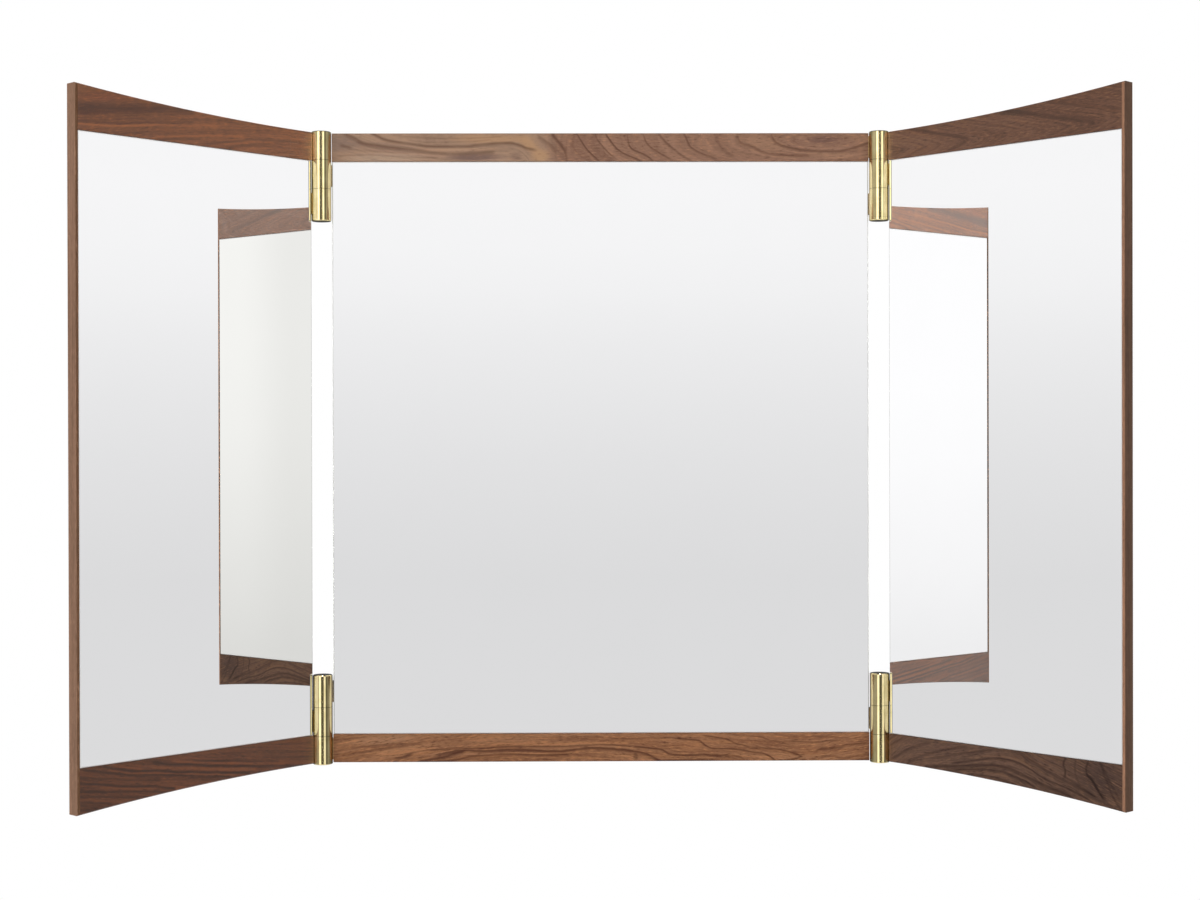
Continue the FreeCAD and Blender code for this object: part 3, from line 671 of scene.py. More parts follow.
def drawn_lines(start, u, z, lines):
    """How strongly drawn lines show, from 0 to 1, each fading on both sides and at its ends."""
    total = 0.0
    for strength, above, below, points in lines:
        first, last = points[0][0], points[-1][0]
        height = u.curve(points)
        slope = (u + 1).curve(points) - height
        gap = (z - height) / start.math("SQRT", slope * slope + 1)
        begun = u.rise(first - FADE_OUTSIDE, first + FADE_INSIDE)
        ends = begun * u.rise(last + FADE_OUTSIDE, last - FADE_INSIDE)
        total = gap.rise(above, 0) * gap.rise(-below, 0) * ends * strength + total
    return total


def lay_patches(start, u, z, patches, ground):
    """Lay soft patches of other tones over the ground."""
    for along, up, half_length, half_height, slant, strength, shade in patches:
        across = (u - along) / half_length
        rise = (z - up - (u - along) * slant) / half_height
        away = start.math("SQRT", across * across + rise * rise)
        ground = (away.rise(1.0, PATCH_CORE) * strength).mix(ground, tone(*shade))
    return ground


# Sizes of the wood's grains along the grain, across it and into the wood, in millimetres.
STREAKS, FLECKS, PORES = (50, 1.6, 6), (7, 1.5, 1.5), (9, 0.42, 0.42)
# How far flecks and streaks sway the tone, and the sway at which it turns fully dark or bright.
FLECK_SWAY, STREAK_SWAY, FULL_SWAY = 1.8, 1.5, 0.7
PORE_START, PORE_SHARE, PORE_TONE = (0.56, 0.72), 0.25, 0.5
BROKEN_RING = 0.6
# Edges and backs are rougher by MATT, which sets in at these depths behind the front.
GRAIN_ROUGHNESS, MATT, MATT_START = 0.12, 0.45, (0.4, 1.6)
# Depth of the relief, and the shares of streaks, pores and ring lines in it.
RELIEF, STREAK_RELIEF, PORE_RELIEF, RING_RELIEF = 0.12, 0.35, 0.5, 0.2


def wood(start, u, across, back, figure, ground, lines, line, bright,
         flecks=1.0, gloss=0.2, satin=0.38, share=(1, 1, 1)):
    """Close a tree with walnut: a ground, flecks and streaks along the figure, ring lines and pores."""
    streak = start.grains((u, figure, back), STREAKS, 3.0, 0.6)
    fleck = start.grains((u, across, back), FLECKS, 2.0, 0.6)
    pores = start.grains((u, across, back), PORES, 2.0, 0.55).rise(*PORE_START)
    broken = start.noise(u / 22, figure / 3, 7.0, 2.0).rise(0.2, 0.6)
    shade = ((0.5 - fleck) * FLECK_SWAY + (0.5 - streak) * STREAK_SWAY) * flecks
    flecked = shade.rise(0.0, FULL_SWAY).mix(ground, line)
    lit = (0 - shade).rise(0.0, FULL_SWAY).mix(flecked, bright)
    ringed = (lines * (BROKEN_RING + (1 - BROKEN_RING) * broken)).mix(lit, line)
    porous = (pores * PORE_SHARE).mix(ringed, times(line, PORE_TONE))
    # Only the front is rubbed to a sheen: the edges and the back are left matt.
    rough = satin + GRAIN_ROUGHNESS * streak + GRAIN_ROUGHNESS * pores + MATT * back.rise(*MATT_START)
    height = 0.5 + STREAK_RELIEF * (streak - 0.5) - PORE_RELIEF * pores - RING_RELIEF * lines
    surface(start, {
        "Base Color": start.node("ShaderNodeVectorMath", {"operation": "MULTIPLY"}, {0: porous, 1: share}),
        "Roughness": rough,
        "Specular IOR Level": gloss,
        "Normal": bump(start, height, RELIEF),
    })


# How far bands and streaks sway the ground between deep and light.
GROUND_SWAY = 1.5
# Warm streaks, and golden lines and flecks, beside the light wood.
WARM, GOLDEN = (1.1, 0.98, 0.8), (1.35, 1.25, 1.05)
# Bright flecks of strips and boards beside their light wood.
BRIGHT = 1.3
SLOW_WANDER, QUICK_WANDER = 4, 1.8


def ground_tone(start, u, figure, back, light, deep, warm=0.0):
    """Broad bands and fine streaks between a deep and a light tone, with warmer streaks among them."""
    broad = start.noise(u / 130, figure / 7, back / 40, 2.0)
    streak = start.noise(u / 65, figure / 2.2, back / 8 + 3, 3.0, 0.6)
    share = 0.5 + (broad - 0.5) * GROUND_SWAY + (streak - 0.5) * GROUND_SWAY
    ground = share.mix(deep, light)
    if not warm:
        return ground
    glow = start.noise(u / 80, figure / 2.6, back / 8 + 17, 2.0).rise(0.5, 0.75) * warm
    return glow.mix(ground, times(light, *WARM))


def wavering(start, u, z):
    """Small wanderings that keep ring lines from being drawn too evenly, in millimetres."""
    slow = start.noise(u / 45, z / 14, 3.0, 1.0) - 0.5
    quick = start.noise(u / 11, z / 4, 5.0, 2.0) - 0.5
    return slow * SLOW_WANDER + quick * QUICK_WANDER


# How glossy and how rough each rail's oil finish is, and the share of its colour that is left beside the
# light of that sheen.
FINISH = {
    "centre_top": (0.08, 0.38, (0.87, 0.86, 0.86)),
    "centre_bottom": (0.07, 0.38, (0.85, 0.84, 0.84)),
    "left_top": (0.95, 0.28, (0.82, 0.60, 0.38)),
    "left_bottom": (0.65, 0.28, (0.78, 0.59, 0.37)),
    "right_top": (0.43, 0.3, (0.82, 0.73, 0.63)),
    "right_bottom": (0.02, 0.38, (0.92, 0.95, 0.99)),
}
# The centre's top rail turns pale leftwards between these places along it, and its flecks get fainter.
PALE, PALE_STRETCH_DEEP, SWIRL_FLECKS, PALE_FLECKS = (-36, -70), 0.62, 0.85, 0.3
# How far rings sink for each millimetre into the wood, and the share of wandering in drawn lines.
SINK, LINE_WANDER = 0.5, 0.3
RAIL_WARMTH, BOARD_WARMTH = 0.5, 0.3


class VANITY_OT_walnut_rails(Operator):
    """Give each of the six rails its own piece of walnut"""

    bl_idname = "vanity_mirror.walnut_rails"
    bl_label = "Walnut Rails"

    def execute(self, context):
        tones = context.scene.vanity_mirror.walnut
        for name in RAIL_TONES_AS_LIT:
            side, level = name.split("_")
            panel = panel_of(side)
            material, start = new_material(f"walnut_{name}_rail")
            u, z, back = panel.read(start)
            waver = wavering(start, u, z)
            figure = rail_figure(name, u, z) + waver + back * SINK
            light, deep, line = (tuple(getattr(tones, f"{name}_{part}")) for part in WOOD_PARTS)
            bright = times(light, *GOLDEN)
            flecks, warmth = 1.0, RAIL_WARMTH
            if name == "centre_top":
                pale = u.rise(*PALE)
                light = pale.mix(light, tuple(tones.centre_top_pale_stretch))
                deep = pale.mix(deep, times(tones.centre_top_pale_stretch, PALE_STRETCH_DEEP))
                flecks = SWIRL_FLECKS - PALE_FLECKS * pale
                warmth = 0.0
            ground = ground_tone(start, u, figure, back, light, deep, warmth)
            level_z = z + waver * LINE_WANDER + back * SINK
            ground = lay_patches(start, u, level_z, PATCHES[name], ground)
            if name in GOLD_LINES:
                ground = drawn_lines(start, u, level_z, GOLD_LINES[name]).mix(ground, bright)
            lines = drawn_lines(start, u, level_z, RING_LINES[name])
            if name in UPRIGHT_LINES:
                lines = lines + drawn_lines(start, level_z, u, UPRIGHT_LINES[name])
            # Two of the figures swirl or fork too much for flecks and pores to follow.
            across = z if name in ("centre_top", "right_top") else figure
            wood(start, u, across, back, figure, ground, lines, line, bright, flecks, *FINISH[name])
            dress(f"{side}_{level}_rail" if side == "centre" else f"{side}_wing_{level}_rail", material)
        return {"FINISHED"}


# Deep wood and ring lines of the strips beside their light wood, and the strength of their flecks.
STRIP_DEEP, STRIP_LINE, STRIP_FLECKS = 0.7, 0.4, 0.7
# The lip beside the glass ends between these depths behind the front.
LIP_END = (1.0, 0.4)


class VANITY_OT_edge_strips(Operator):
    """Give the strips on the wings' outer ends upright walnut grain"""

    bl_idname = "vanity_mirror.edge_strips"
    bl_label = "Edge Strips"

    def execute(self, context):
        tones = context.scene.vanity_mirror.walnut
        for side in ("left", "right"):
            material, start = new_material(f"walnut_{side}_strip")
            u, z, back = panel_of(side).read(start)
            figure = back + u * 0.6 + start.noise(z / 160, back / 20, 2.0, 2.0) * 6
            lines = start.noise(z / 300, figure / 1.6, 4.0, 2.0).rise(0.5, 0.8) * 0.6
            # These end and lip colours hold painted light and shade: the left end and the right lip are
            # lighter, the right lip with a painted highlight on its arris, and the right end and the left
            # lip are darker.
            end, lip = (tuple(getattr(tones, f"{side}_strip_{part}")) for part in ("end", "lip"))
            on_lip = back.rise(*LIP_END)
            light = on_lip.mix(end, lip)
            deep = on_lip.mix(times(end, STRIP_DEEP), times(lip, STRIP_DEEP))
            # Depth into a strip is counted along the panel, from the hinge, so a strip is matt all over.
            ground = ground_tone(start, z, figure, u, light, deep)
            line, bright = times(end, STRIP_LINE), times(end, BRIGHT)
            wood(start, z, back, u, figure, ground, lines, line, bright, STRIP_FLECKS)
            dress(f"{side}_wing_edge_strip", material)
        return {"FINISHED"}


class VANITY_OT_backboards(Operator):
    """Veneer the boards behind the glass, and give the hanger blocks the same wood"""

    bl_idname = "vanity_mirror.backboards"
    bl_label = "Backboards"

    def execute(self, context):
        tones = context.scene.vanity_mirror.walnut
        boards = {
            "centre": ("centre_backboard", "left_hanger_block", "right_hanger_block"),
            "left": ("left_wing_backboard",),
            "right": ("right_wing_backboard",),
        }
        for side, nodes in boards.items():
            material, start = new_material(f"walnut_{side}_board")
            u, z, back = panel_of(side).read(start)
            # Upright grain with a slow sway.
            sway = start.noise(u / 90, z / 260, 9.0, 1.0) * 46
            figure = u + sway + back * 0.7
            lines = start.noise(z / 500, figure / 5.5, 6.0, 1.0).rise(0.52, 0.72) * 0.55
            light, deep = tuple(tones.board_light), tuple(tones.board_deep)
            ground = ground_tone(start, z, figure, back, light, deep, BOARD_WARMTH)
            line, bright = tuple(tones.board_line), times(light, BRIGHT)
            wood(start, z, u, back, figure, ground, lines, line, bright)
            for node in nodes:
                dress(node, material)
        return {"FINISHED"}


# Depths behind the face of the glass where the arris, painted with a highlight, and the ground edge begin,
# in millimetres.
ARRIS_START, CUT_START = (0.05, 0.15), (0.9, 1.1)
HAZY_SILVER, HAZE_SHARE = tone(249, 250, 247), 0.25
HAZE_ROUGHNESS, ARRIS_ROUGHNESS = 0.003, 0.2


class VANITY_OT_mirror_glass(Operator):
    """Silver the three sheets of glass"""

    bl_idname = "vanity_mirror.mirror_glass"
    bl_label = "Mirror Glass"

    def execute(self, context):
        glass = context.scene.vanity_mirror.glass
        sheets = {"centre": "centre_glass", "left": "left_wing_glass", "right": "right_wing_glass"}
        for side, node in sheets.items():
            panel = panel_of(side)
            material, start = new_material(f"mirror_{side}_sheet")
            u, z, back = panel.read(start)
            first, last = panel.reach(node)
            face = panel.depth(node)
            inset = u - first
            if side == "centre":
                inset = start.math("MINIMUM", inset, last - u)
            width = glass.edge_width / MM
            # Along the upright edges a darker band is painted, a painted reflection of darker surroundings.
            dimmed = inset.rise(width, width * 0.5)
            haze = start.noise(u / 70, z / 90, 1.0, 4.0, 0.6)
            edge = tuple(glass.centre_edge if side == "centre" else glass.wing_edge)
            silver = (haze.rise(0.35, 0.75) * HAZE_SHARE).mix(tuple(glass.silver), HAZY_SILVER)
            # Round each face the arris is painted near white and not metallic, a painted highlight.
            arris_highlight = (back - face).rise(*ARRIS_START)
            cut = (back - face).rise(*CUT_START)
            rim = dimmed.mix(arris_highlight.mix(silver, tuple(glass.arris_highlight)), edge)
            surface(start, {
                "Base Color": cut.mix(rim, tuple(glass.cut_edge)),
                "Metallic": 1 - arris_highlight,
                "Roughness": haze * HAZE_ROUGHNESS + arris_highlight * ARRIS_ROUGHNESS,
            })
            dress(node, material)
        return {"FINISHED"}


# How far dull patches and draw lines turn the gold to olive, and what they and the ears add to roughness.
DULL_TINT, DRAWN_TINT = 0.45, 0.25
POLISH, DULL_ROUGHNESS, DRAWN_ROUGHNESS, EAR_ROUGHNESS = 0.03, 0.07, 0.03, 0.3
# How far outside the barrel the ears begin, in millimetres.
EAR_START = (0.02, 0.2)
# Painted shade on the barrels' flanks beside the panels: how far the flanks turn outwards, where they begin
# in shares of the barrel's radius, their strength on the upper hinges, and the heights between which they
# come to full strength.
FLANK_TURN, FLANK_START, FLANK_UPPER, FLANK_HEIGHTS = 0.13, (-0.6, -0.38), 0.4, (100, -100)
# Depth of draw lines and polishing marks, in millimetres.
MARK_DEPTH = 0.0015


class VANITY_OT_brass_hinges(Operator):
    """Polish the knuckles and pins of the four hinges"""

    bl_idname = "vanity_mirror.brass_hinges"
    bl_label = "Brass Hinges"

    def execute(self, context):
        brass = context.scene.vanity_mirror.brass
        parts = ("outer_knuckle", "middle_knuckle", "inner_knuckle", "pin")
        for side in ("left", "right"):
            joint = next(j for j in frame["joints"] if j["name"] == f"{side}_wing_hinge")
            axis = Vector(joint["pos_m"])
            low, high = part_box(f"upper_{side}_pin")
            barrel = (high[0] - low[0]) / 2 / MM
            material, start = new_material(f"brass_{side}_hinges")
            x, y, z = object_place(start, axis)
            # Faint draw lines run up the barrel, polishing marks run round it, dull patches lie on both.
            drawn = start.noise(x / 0.9, y / 0.9, z / 60, 2.0, 0.5)
            turned = start.noise(x / 8, y / 8, z / 0.5, 2.0, 0.5)
            dimmed = start.noise(x / 9, y / 9, z / 16, 3.0, 0.55)
            tint = dimmed.rise(0.35, 0.75) * DULL_TINT + drawn.rise(0.4, 0.8) * DRAWN_TINT
            rough = brass.roughness - POLISH + DULL_ROUGHNESS * dimmed + DRAWN_ROUGHNESS * drawn
            # The ears stand outside the barrel and were never polished, so they are rougher; their darker
            # colour is painted shade of the narrow gap they sit in.
            outside = start.math("SQRT", x * x + y * y).rise(*(barrel + gap for gap in EAR_START))
            # The barrels' flanks close to the panels are darkened with painted shade, most of all low down.
            outwards = x * (-1.0 if side == "left" else 1.0)
            shaded_flank = ((y + FLANK_TURN * outwards) / barrel).rise(*FLANK_START)
            shaded_flank = shaded_flank * (FLANK_UPPER + (1 - FLANK_UPPER) * z.rise(*FLANK_HEIGHTS))
            polished = shaded_flank.mix(tint.mix(tuple(brass.gold), tuple(brass.olive)), tuple(brass.shaded_flank))
            surface(start, {
                "Base Color": outside.mix(polished, tuple(brass.shaded_ear)),
                "Metallic": 1.0,
                "Roughness": rough + outside * EAR_ROUGHNESS,
                "Normal": bump(start, 0.5 * drawn + 0.5 * turned, MARK_DEPTH),
            })
            for level in ("upper", "lower"):
                for part in parts:
                    dress(f"{level}_{side}_{part}", material)
        return {"FINISHED"}


def zinc_material(name, hanger):
    """Zinc plating: pale, with dull patches and fine scratches."""
    material, start = new_material(name)
    x, y, z = object_place(start)
    patch = start.noise(x / 5, y / 5, z / 5, 3.0, 0.6)
    scratch = start.noise(x / 0.3, y / 0.3, z / 9, 2.0, 0.6)
    surface(start, {
        "Base Color": patch.rise(0.3, 0.7).mix(tuple(hanger.zinc), tuple(hanger.dull_zinc)),
        "Metallic": 1.0,
        "Roughness": 0.26 + 0.2 * patch + 0.1 * scratch,
        "Normal": bump(start, scratch, 0.01),
    })
    return material


class VANITY_OT_hanger_plates(Operator):
    """Plate the keyhole hangers with zinc"""

    bl_idname = "vanity_mirror.hanger_plates"
    bl_label = "Hanger Plates"

    def execute(self, context):
        material = zinc_material("zinc_plates", context.scene.vanity_mirror.hanger)
        for node in ("left_hanger", "right_hanger"):
            dress(node, material)
        return {"FINISHED"}


def pick_faces(piece, wanted):
    """In edit mode, select only the faces whose normal passes a test."""
    mesh = bmesh.from_edit_mesh(piece.data)
    for face in mesh.faces:
        face.select_set(False)
    for face in mesh.faces:
        if wanted(face.normal):
            face.select_set(True)
    mesh.select_flush_mode()
    bmesh.update_edit_mesh(piece.data)


def combine(piece, operation, tool):
    """Cut another object from a piece, or join it to it. The other object is used up."""
    bpy.ops.object.select_all(action="DESELECT")
    piece.select_set(True)
    bpy.context.view_layer.objects.active = piece
    bpy.ops.object.modifier_add(type="BOOLEAN")
    step = piece.modifiers[-1]
    step.operation = operation
    step.solver = "EXACT"
    step.object = tool
    bpy.ops.object.modifier_apply(modifier=step.name)
    bpy.data.objects.remove(tool)


# Screw point: its length in shank diameters and its end in shares of the shank.
POINT_LENGTH, POINT_END = 0.7, 0.3
# Rim round the head and softening of its edges, in head diameters.
RIM, SOFTENING = 0.05, 0.02
# Blades of the cross recess: length and width in head diameters, and the share of both at their inner end.
BLADE_LENGTH, BLADE_WIDTH, BLADE_TAPER = 0.56, 0.13, 0.35
# How nearly a face has to look along the screw to be one of its ends.
END_FACE = 0.9
SMOOTH_ANGLE = math.radians(35)


class VANITY_OT_hanger_screws(Operator):
    """Model the countersunk screws of the hangers, with cross recesses"""

    bl_idname = "vanity_mirror.hanger_screws"
    bl_label = "Hanger Screws"

    def execute(self, context):
        hanger = context.scene.vanity_mirror.hanger
        low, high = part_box("hanger_screws")
        cone = (hanger.head - hanger.shank) / 2
        bpy.ops.object.select_all(action="DESELECT")
        bpy.ops.mesh.primitive_cylinder_add(
            vertices=40, radius=hanger.head / 2, depth=cone, location=(0, high[1] - cone / 2, 0),
            rotation=(math.pi / 2, 0, 0))
        screw = context.object
        bpy.ops.object.transform_apply(location=True, rotation=True, scale=True)
        bpy.ops.object.mode_set(mode="EDIT")
        bpy.ops.mesh.select_mode(type="FACE")
        # The inner end closes to the shank, which runs on to a short point.
        pick_faces(screw, lambda normal: normal.y < -END_FACE)
        inner = (0, high[1] - cone, 0)
        slim = hanger.shank / hanger.head
        bpy.ops.transform.resize(value=(slim, 1, slim), center_override=inner)
        point = hanger.shank * POINT_LENGTH
        shank = high[1] - low[1] - cone - point
        bpy.ops.mesh.extrude_region_move(TRANSFORM_OT_translate={"value": (0, -shank, 0)})
        bpy.ops.mesh.extrude_region_move(TRANSFORM_OT_translate={"value": (0, -point, 0)})
        bpy.ops.transform.resize(value=(POINT_END, 1, POINT_END), center_override=(0, low[1], 0))
        # A narrow rim runs round the head.
        pick_faces(screw, lambda normal: normal.y > END_FACE)
        bpy.ops.mesh.inset(thickness=hanger.head * RIM, depth=0.0)
        bpy.ops.object.mode_set(mode="OBJECT")
        combine(screw, "DIFFERENCE", self.cross(context, hanger, high[1]))
        bpy.ops.object.modifier_add(type="BEVEL")
        soften = screw.modifiers[-1]
        soften.width = hanger.head * SOFTENING
        soften.segments = 2
        soften.limit_method = "ANGLE"
        bpy.ops.object.modifier_apply(modifier=soften.name)
        bpy.ops.object.shade_smooth_by_angle(angle=SMOOTH_ANGLE)
        material = zinc_material("zinc_screws", hanger)
        screw.data.materials.append(material)
        self.place(screw, low, high, hanger)
        return {"FINISHED"}

    def cross(self, context, hanger, face):
        """A cutter with two tapered blades that cross."""
        blades = []
        for turn in (0.0, math.pi / 2):
            bpy.ops.object.select_all(action="DESELECT")
            bpy.ops.mesh.primitive_cube_add(size=1.0, location=(0, face, 0))
            blade = context.object
            blade.scale = (hanger.head * BLADE_LENGTH, hanger.recess * 2, hanger.head * BLADE_WIDTH)
            blade.rotation_euler = (0, turn, 0)
            bpy.ops.object.transform_apply(location=True, rotation=True, scale=True)
            bpy.ops.object.mode_set(mode="EDIT")
            pick_faces(blade, lambda normal: normal.y < -END_FACE)
            tip = (0, face - hanger.recess, 0)
            bpy.ops.transform.resize(value=(BLADE_TAPER, 1, BLADE_TAPER), center_override=tip)
            bpy.ops.object.mode_set(mode="OBJECT")
            blades.append(blade)
        whole, other = blades
        combine(whole, "UNION", other)
        return whole

    def place(self, screw, low, high, hanger):
        """Put a copy in each of the four holes, each turned its own way."""
        reach = hanger.head / 2
        spots = {
            "left_upper": (low[0] + reach, high[2] - reach, 20.0),
            "left_lower": (low[0] + reach, low[2] + reach, 65.0),
            "right_upper": (high[0] - reach, high[2] - reach, 5.0),
            "right_lower": (high[0] - reach, low[2] + reach, 38.0),
        }
        for name, (x, z, turn) in spots.items():
            mesh = screw.data.copy()
            mesh.transform(Matrix.Translation((x, 0, z)) @ Matrix.Rotation(math.radians(turn), 4, "Y"))
            piece = bpy.data.objects.new(f"hanger_screw_{name}", mesh)
            bpy.context.scene.collection.objects.link(piece)
            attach(piece, "centre_panel")
            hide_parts("hanger_screws")
        bpy.data.objects.remove(screw)


# Camera, fitted to the photograph: focal length in pixels of a picture 1200 wide, and place in metres.
FOCAL_PIXELS = 1932.5
PICTURE_WIDTH = 1200
SENSOR = 36.0
CAMERA_PLACE = (-0.02031, -2.0784, 0.00611)
CAMERA_YAW, CAMERA_PITCH, CAMERA_ROLL = 0.5335, -0.2437, -0.1263

# Brightness that the mirrors meet, as display values at heights in degrees above the level.
BACKDROP = (
    (-6.0, 219), (-4.0, 219), (-2.3, 222), (-0.5, 226), (1.3, 231), (3.0, 236), (4.4, 241), (5.7, 244),
    (7.4, 246), (9.0, 246))
# The same for light that both wings have sent on: to the left, straight ahead, and to the right.
TWICE_LEFT = ((-6.0, 238), (-3.5, 246), (-0.5, 252), (1.5, 254))
TWICE_AHEAD = ((-6.0, 217), (-2.3, 226), (0.4, 232), (3.0, 235))
TWICE_RIGHT = ((-6.0, 220), (-2.3, 233), (0.4, 241), (3.0, 244), (6.0, 245))
# Light that both wings have sent on has gone deeper than this many rays.
BOTH_WINGS = 2.5
# Degrees to the right between which the greys straight ahead turn into those to the right.
TURN_RIGHT = (0.8, 2.5)
# Blue against red and green: in most greys, and in those straight ahead and to the right.
BLUE, BLUE_TWICE = 1, -3
# Brightness round the room that polished metal meets, by degrees to the right of the camera's side.
ROUND_ROOM = (
    (-180, 0.14), (-165, 0.14), (-156, 0.5), (-138, 0.5), (-128, 0.2), (-96, 0.28), (-86, 0.5), (-62, 0.56),
    (-44, 0.5), (-39, 0.6), (-33, 2.3), (-18, 2.3), (-11, 0.4), (-7, 0.16), (10, 0.16), (17, 0.35),
    (25, 1.8), (37, 1.7), (43, 0.35), (48, 0.18), (60, 0.2), (68, 0.42), (84, 0.42), (94, 0.25),
    (128, 0.2), (138, 0.5), (156, 0.5), (165, 0.14), (180, 0.14))
# Ceiling and ground of that room: brightness, and degrees from the level where they begin.
CEILING, CEILING_START = (0.1, 0.1, 0.1), (12, 24)
# Soft boxes above and below: brightness, degrees from the level where they begin, and their two sides.
SOFT_BOX, SOFT_BOX_START = (14.0, 14.0, 14.0), (12.5, 16)
SOFT_BOX_LEFT, SOFT_BOX_RIGHT = (-30, -18), (26, 14)
# How much darker the room is below the level, and the degrees between which it becomes so.
GLOOM, GLOOM_START = 0.28, (3, -5)
BLACK, WHITE = (0.0, 0.0, 0.0), (1.0, 1.0, 1.0)
TURN = 360
# Shares of the floor's radius between which it fades out, and how far its grain darkens it.
FLOOR_FADE, FLOOR_GRAIN, FLOOR_DARK = (0.5, 0.98), 0.15, 0.94


class VANITY_OT_stage(Operator):
    """Set up the camera, the lamps, the backdrop and the floor"""

    bl_idname = "vanity_mirror.stage"
    bl_label = "Studio Stage"

    def execute(self, context):
        stage = context.scene.vanity_mirror.stage
        context.scene.view_settings.view_transform = "Standard"
        self.camera(context)
        self.lamps(context, stage)
        self.backdrop(context, stage)
        self.floor(context, stage)
        return {"FINISHED"}

    def camera(self, context):
        yaw, pitch, roll = (math.radians(a) for a in (CAMERA_YAW, CAMERA_PITCH, CAMERA_ROLL))
        level = Vector((math.sin(yaw), math.cos(yaw), 0.0))
        right = Vector((math.cos(yaw), -math.sin(yaw), 0.0))
        up = Vector((0.0, 0.0, 1.0))
        ahead = level * math.cos(pitch) + up * math.sin(pitch)
        above = up * math.cos(pitch) - level * math.sin(pitch)
        turned_right = right * math.cos(roll) + above * math.sin(roll)
        turned_up = above * math.cos(roll) - right * math.sin(roll)
        data = bpy.data.cameras.new("studio_camera")
        data.sensor_fit = "HORIZONTAL"
        data.sensor_width = SENSOR
        data.lens = FOCAL_PIXELS * SENSOR / PICTURE_WIDTH
        camera = bpy.data.objects.new("studio_camera", data)
        context.scene.collection.objects.link(camera)
        turn = Matrix((turned_right, turned_up, -ahead)).transposed().to_4x4()
        camera.matrix_world = Matrix.Translation(CAMERA_PLACE) @ turn
        context.scene.camera = camera

    def lamps(self, context, stage):
        # Places and sizes in metres, and shares of the power.
        lamps = {
            "lamp_above": ((0.0, -2.3, 2.3), 2.6, 1.0),
            "lamp_left": ((-2.4, -2.2, 0.4), 1.8, 0.3),
            "lamp_right": ((2.4, -2.2, 0.4), 1.8, 0.3),
            "lamp_behind": ((0.0, 2.6, 1.8), 2.2, 0.6),
        }
        for name, (place, size, share) in lamps.items():
            data = bpy.data.lights.new(name, "AREA")
            data.size = size
            data.energy = stage.lamp_power * share
            lamp = bpy.data.objects.new(name, data)
            lamp.location = place
            lamp.rotation_euler = (-Vector(place)).to_track_quat("-Z", "Y").to_euler()
            # The mirrors show the plain backdrop and not the lamps.
            lamp.visible_glossy = False
            lamp.visible_camera = False
            context.scene.collection.objects.link(lamp)

    def backdrop(self, context, stage):
        world = bpy.data.worlds.new("studio_backdrop")
        context.scene.world = world
        world.use_nodes = True
        world.node_tree.nodes.clear()
        start = Flow(world.node_tree)
        view = start.node("ShaderNodeTexCoord", None, None, "Generated")
        parts = start.node("ShaderNodeSeparateXYZ", None, {0: view})
        x, y, z = parts.out("X"), parts.out("Y"), parts.out("Z")
        height = start.math("ARCSINE", z) * math.degrees(1)
        light = start.node("ShaderNodeLightPath")
        silver = context.scene.vanity_mirror.glass.silver
        side = start.math("ARCTAN2", x, 0 - y) * math.degrees(1)
        once = self.shades(start, height, BACKDROP, silver, BLUE)
        both = [value * value for value in silver]
        left = self.shades(start, height, TWICE_LEFT, both, BLUE)
        ahead = self.shades(start, height, TWICE_AHEAD, both, BLUE_TWICE)
        right = self.shades(start, height, TWICE_RIGHT, both, BLUE_TWICE)
        twice = light.math("LESS_THAN", x, 0.0).mix(side.rise(*TURN_RIGHT).mix(ahead, right), left)
        plain = light.math("GREATER_THAN", light.out("Ray Depth"), BOTH_WINGS).mix(once, twice)
        rounds = [(degrees / TURN + 0.5, (shade, shade, shade)) for degrees, shade in ROUND_ROOM]
        room = start.node("ShaderNodeValToRGB", {"stops": rounds}, {"Fac": side / TURN + 0.5})
        room = abs(height).rise(*CEILING_START).mix(room, CEILING)
        soft_box = abs(height).rise(*SOFT_BOX_START) * side.rise(*SOFT_BOX_LEFT)
        soft_box = soft_box * side.rise(*SOFT_BOX_RIGHT)
        room = soft_box.mix(room, SOFT_BOX)
        room = (GLOOM * height.rise(*GLOOM_START)).mix(room, BLACK)
        metal = light.out("Is Singular Ray").mix(room, plain)
        seen = light.math("MAXIMUM", light.out("Is Glossy Ray"), light.out("Is Transmission Ray"))
        even = (stage.ambient, stage.ambient, stage.ambient)
        shown = light.out("Is Camera Ray").mix(seen.mix(even, metal), WHITE)
        glow = start.node("ShaderNodeBackground", None, {"Color": shown, "Strength": 1.0})
        start.node("ShaderNodeOutputWorld", None, {"Surface": glow})

    def shades(self, start, height, steps, silver, blue):
        """Greys at heights, a little brighter than shown because the silver takes some away."""
        low, high = steps[0][0], steps[-1][0]
        stops = []
        for degrees, shade in steps:
            grey = tone(shade, shade, shade + blue)
            stops.append(((degrees - low) / (high - low), [g / s for g, s in zip(grey, silver)]))
        return start.node("ShaderNodeValToRGB", {"stops": stops}, {"Fac": (height - low) / (high - low)})

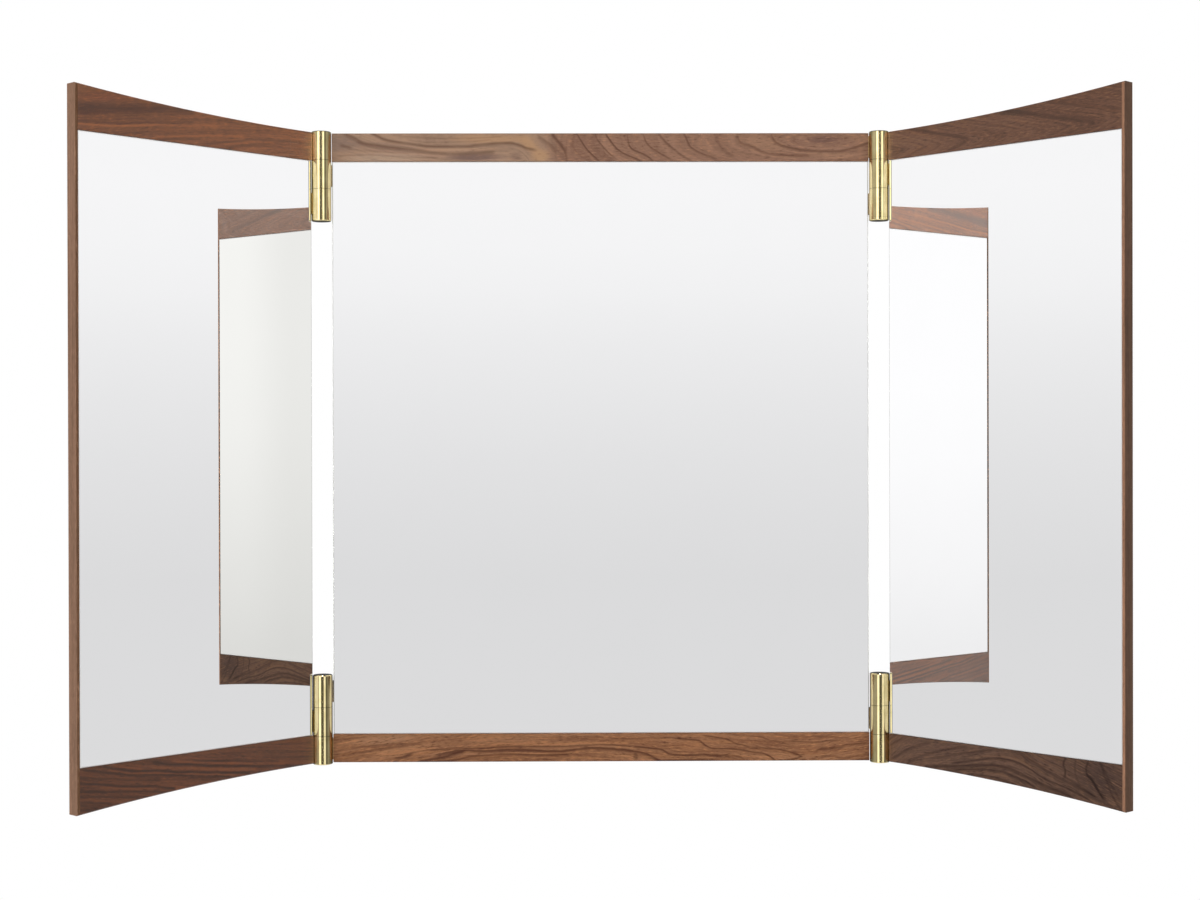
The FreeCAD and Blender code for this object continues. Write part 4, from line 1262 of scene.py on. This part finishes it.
    def floor(self, context, stage):
        bpy.ops.object.select_all(action="DESELECT")
        bpy.ops.mesh.primitive_circle_add(
            vertices=128, radius=stage.floor_radius, fill_type="NGON",
            location=(0, 0, -stage.floor_drop))
        floor = context.object
        floor.name = "studio_floor"
        bpy.ops.object.transform_apply(location=True, rotation=True, scale=True)
        material, start = new_material("pale_floor")
        place = start.node("ShaderNodeTexCoord", None, None, "Object")
        x, y = (place.along(axis) * MM for axis in AXES[:2])
        away = start.math("SQRT", x * x + y * y) / stage.floor_radius
        grain = start.noise(x * 9, y * 9, 0.0, 3.0)
        floor_dark = times(stage.floor, FLOOR_DARK)
        pale = start.node("ShaderNodeBsdfPrincipled", None, {
            "Base Color": (grain * FLOOR_GRAIN).mix(tuple(stage.floor), floor_dark),
            "Roughness": 0.7,
            "Specular IOR Level": 0.2,
        })
        clear = start.node("ShaderNodeBsdfTransparent")
        blend = start.node("ShaderNodeMixShader", None, {0: away.rise(*FLOOR_FADE), 1: pale, 2: clear})
        start.node("ShaderNodeOutputMaterial", None, {"Surface": blend})
        floor.data.materials.append(material)


class VANITY_PT_sidebar(Panel):
    """Lists the steps and the settings"""

    bl_idname = "VANITY_PT_sidebar"
    bl_label = "Vanity Mirror"
    bl_space_type = "VIEW_3D"
    bl_region_type = "UI"
    bl_category = "Vanity Mirror"

    def draw(self, context):
        settings = context.scene.vanity_mirror
        for step in STEPS:
            self.layout.operator(step.bl_idname)
        for group in (settings.walnut, settings.glass, settings.brass, settings.hanger, settings.stage):
            box = self.layout.box()
            for name in group.__annotations__:
                box.prop(group, name)


STEPS = (
    VANITY_OT_walnut_rails,
    VANITY_OT_edge_strips,
    VANITY_OT_backboards,
    VANITY_OT_mirror_glass,
    VANITY_OT_brass_hinges,
    VANITY_OT_hanger_plates,
    VANITY_OT_hanger_screws,
    VANITY_OT_stage,
)
GROUPS = (WalnutSettings, GlassSettings, BrassSettings, HangerSettings, StageSettings, MirrorSettings)
CLASSES = GROUPS + STEPS + (VANITY_PT_sidebar,)


def register():
    for each in CLASSES:
        bpy.utils.register_class(each)
    bpy.types.Scene.vanity_mirror = PointerProperty(type=MirrorSettings)


def unregister():
    del bpy.types.Scene.vanity_mirror
    for each in reversed(CLASSES):
        bpy.utils.unregister_class(each)


def main():
    register()
    bpy.ops.vanity_mirror.walnut_rails()
    bpy.ops.vanity_mirror.edge_strips()
    bpy.ops.vanity_mirror.backboards()
    bpy.ops.vanity_mirror.mirror_glass()
    bpy.ops.vanity_mirror.brass_hinges()
    bpy.ops.vanity_mirror.hanger_plates()
    bpy.ops.vanity_mirror.hanger_screws()
    bpy.ops.vanity_mirror.stage()


if __name__ == "__main__":
    main()
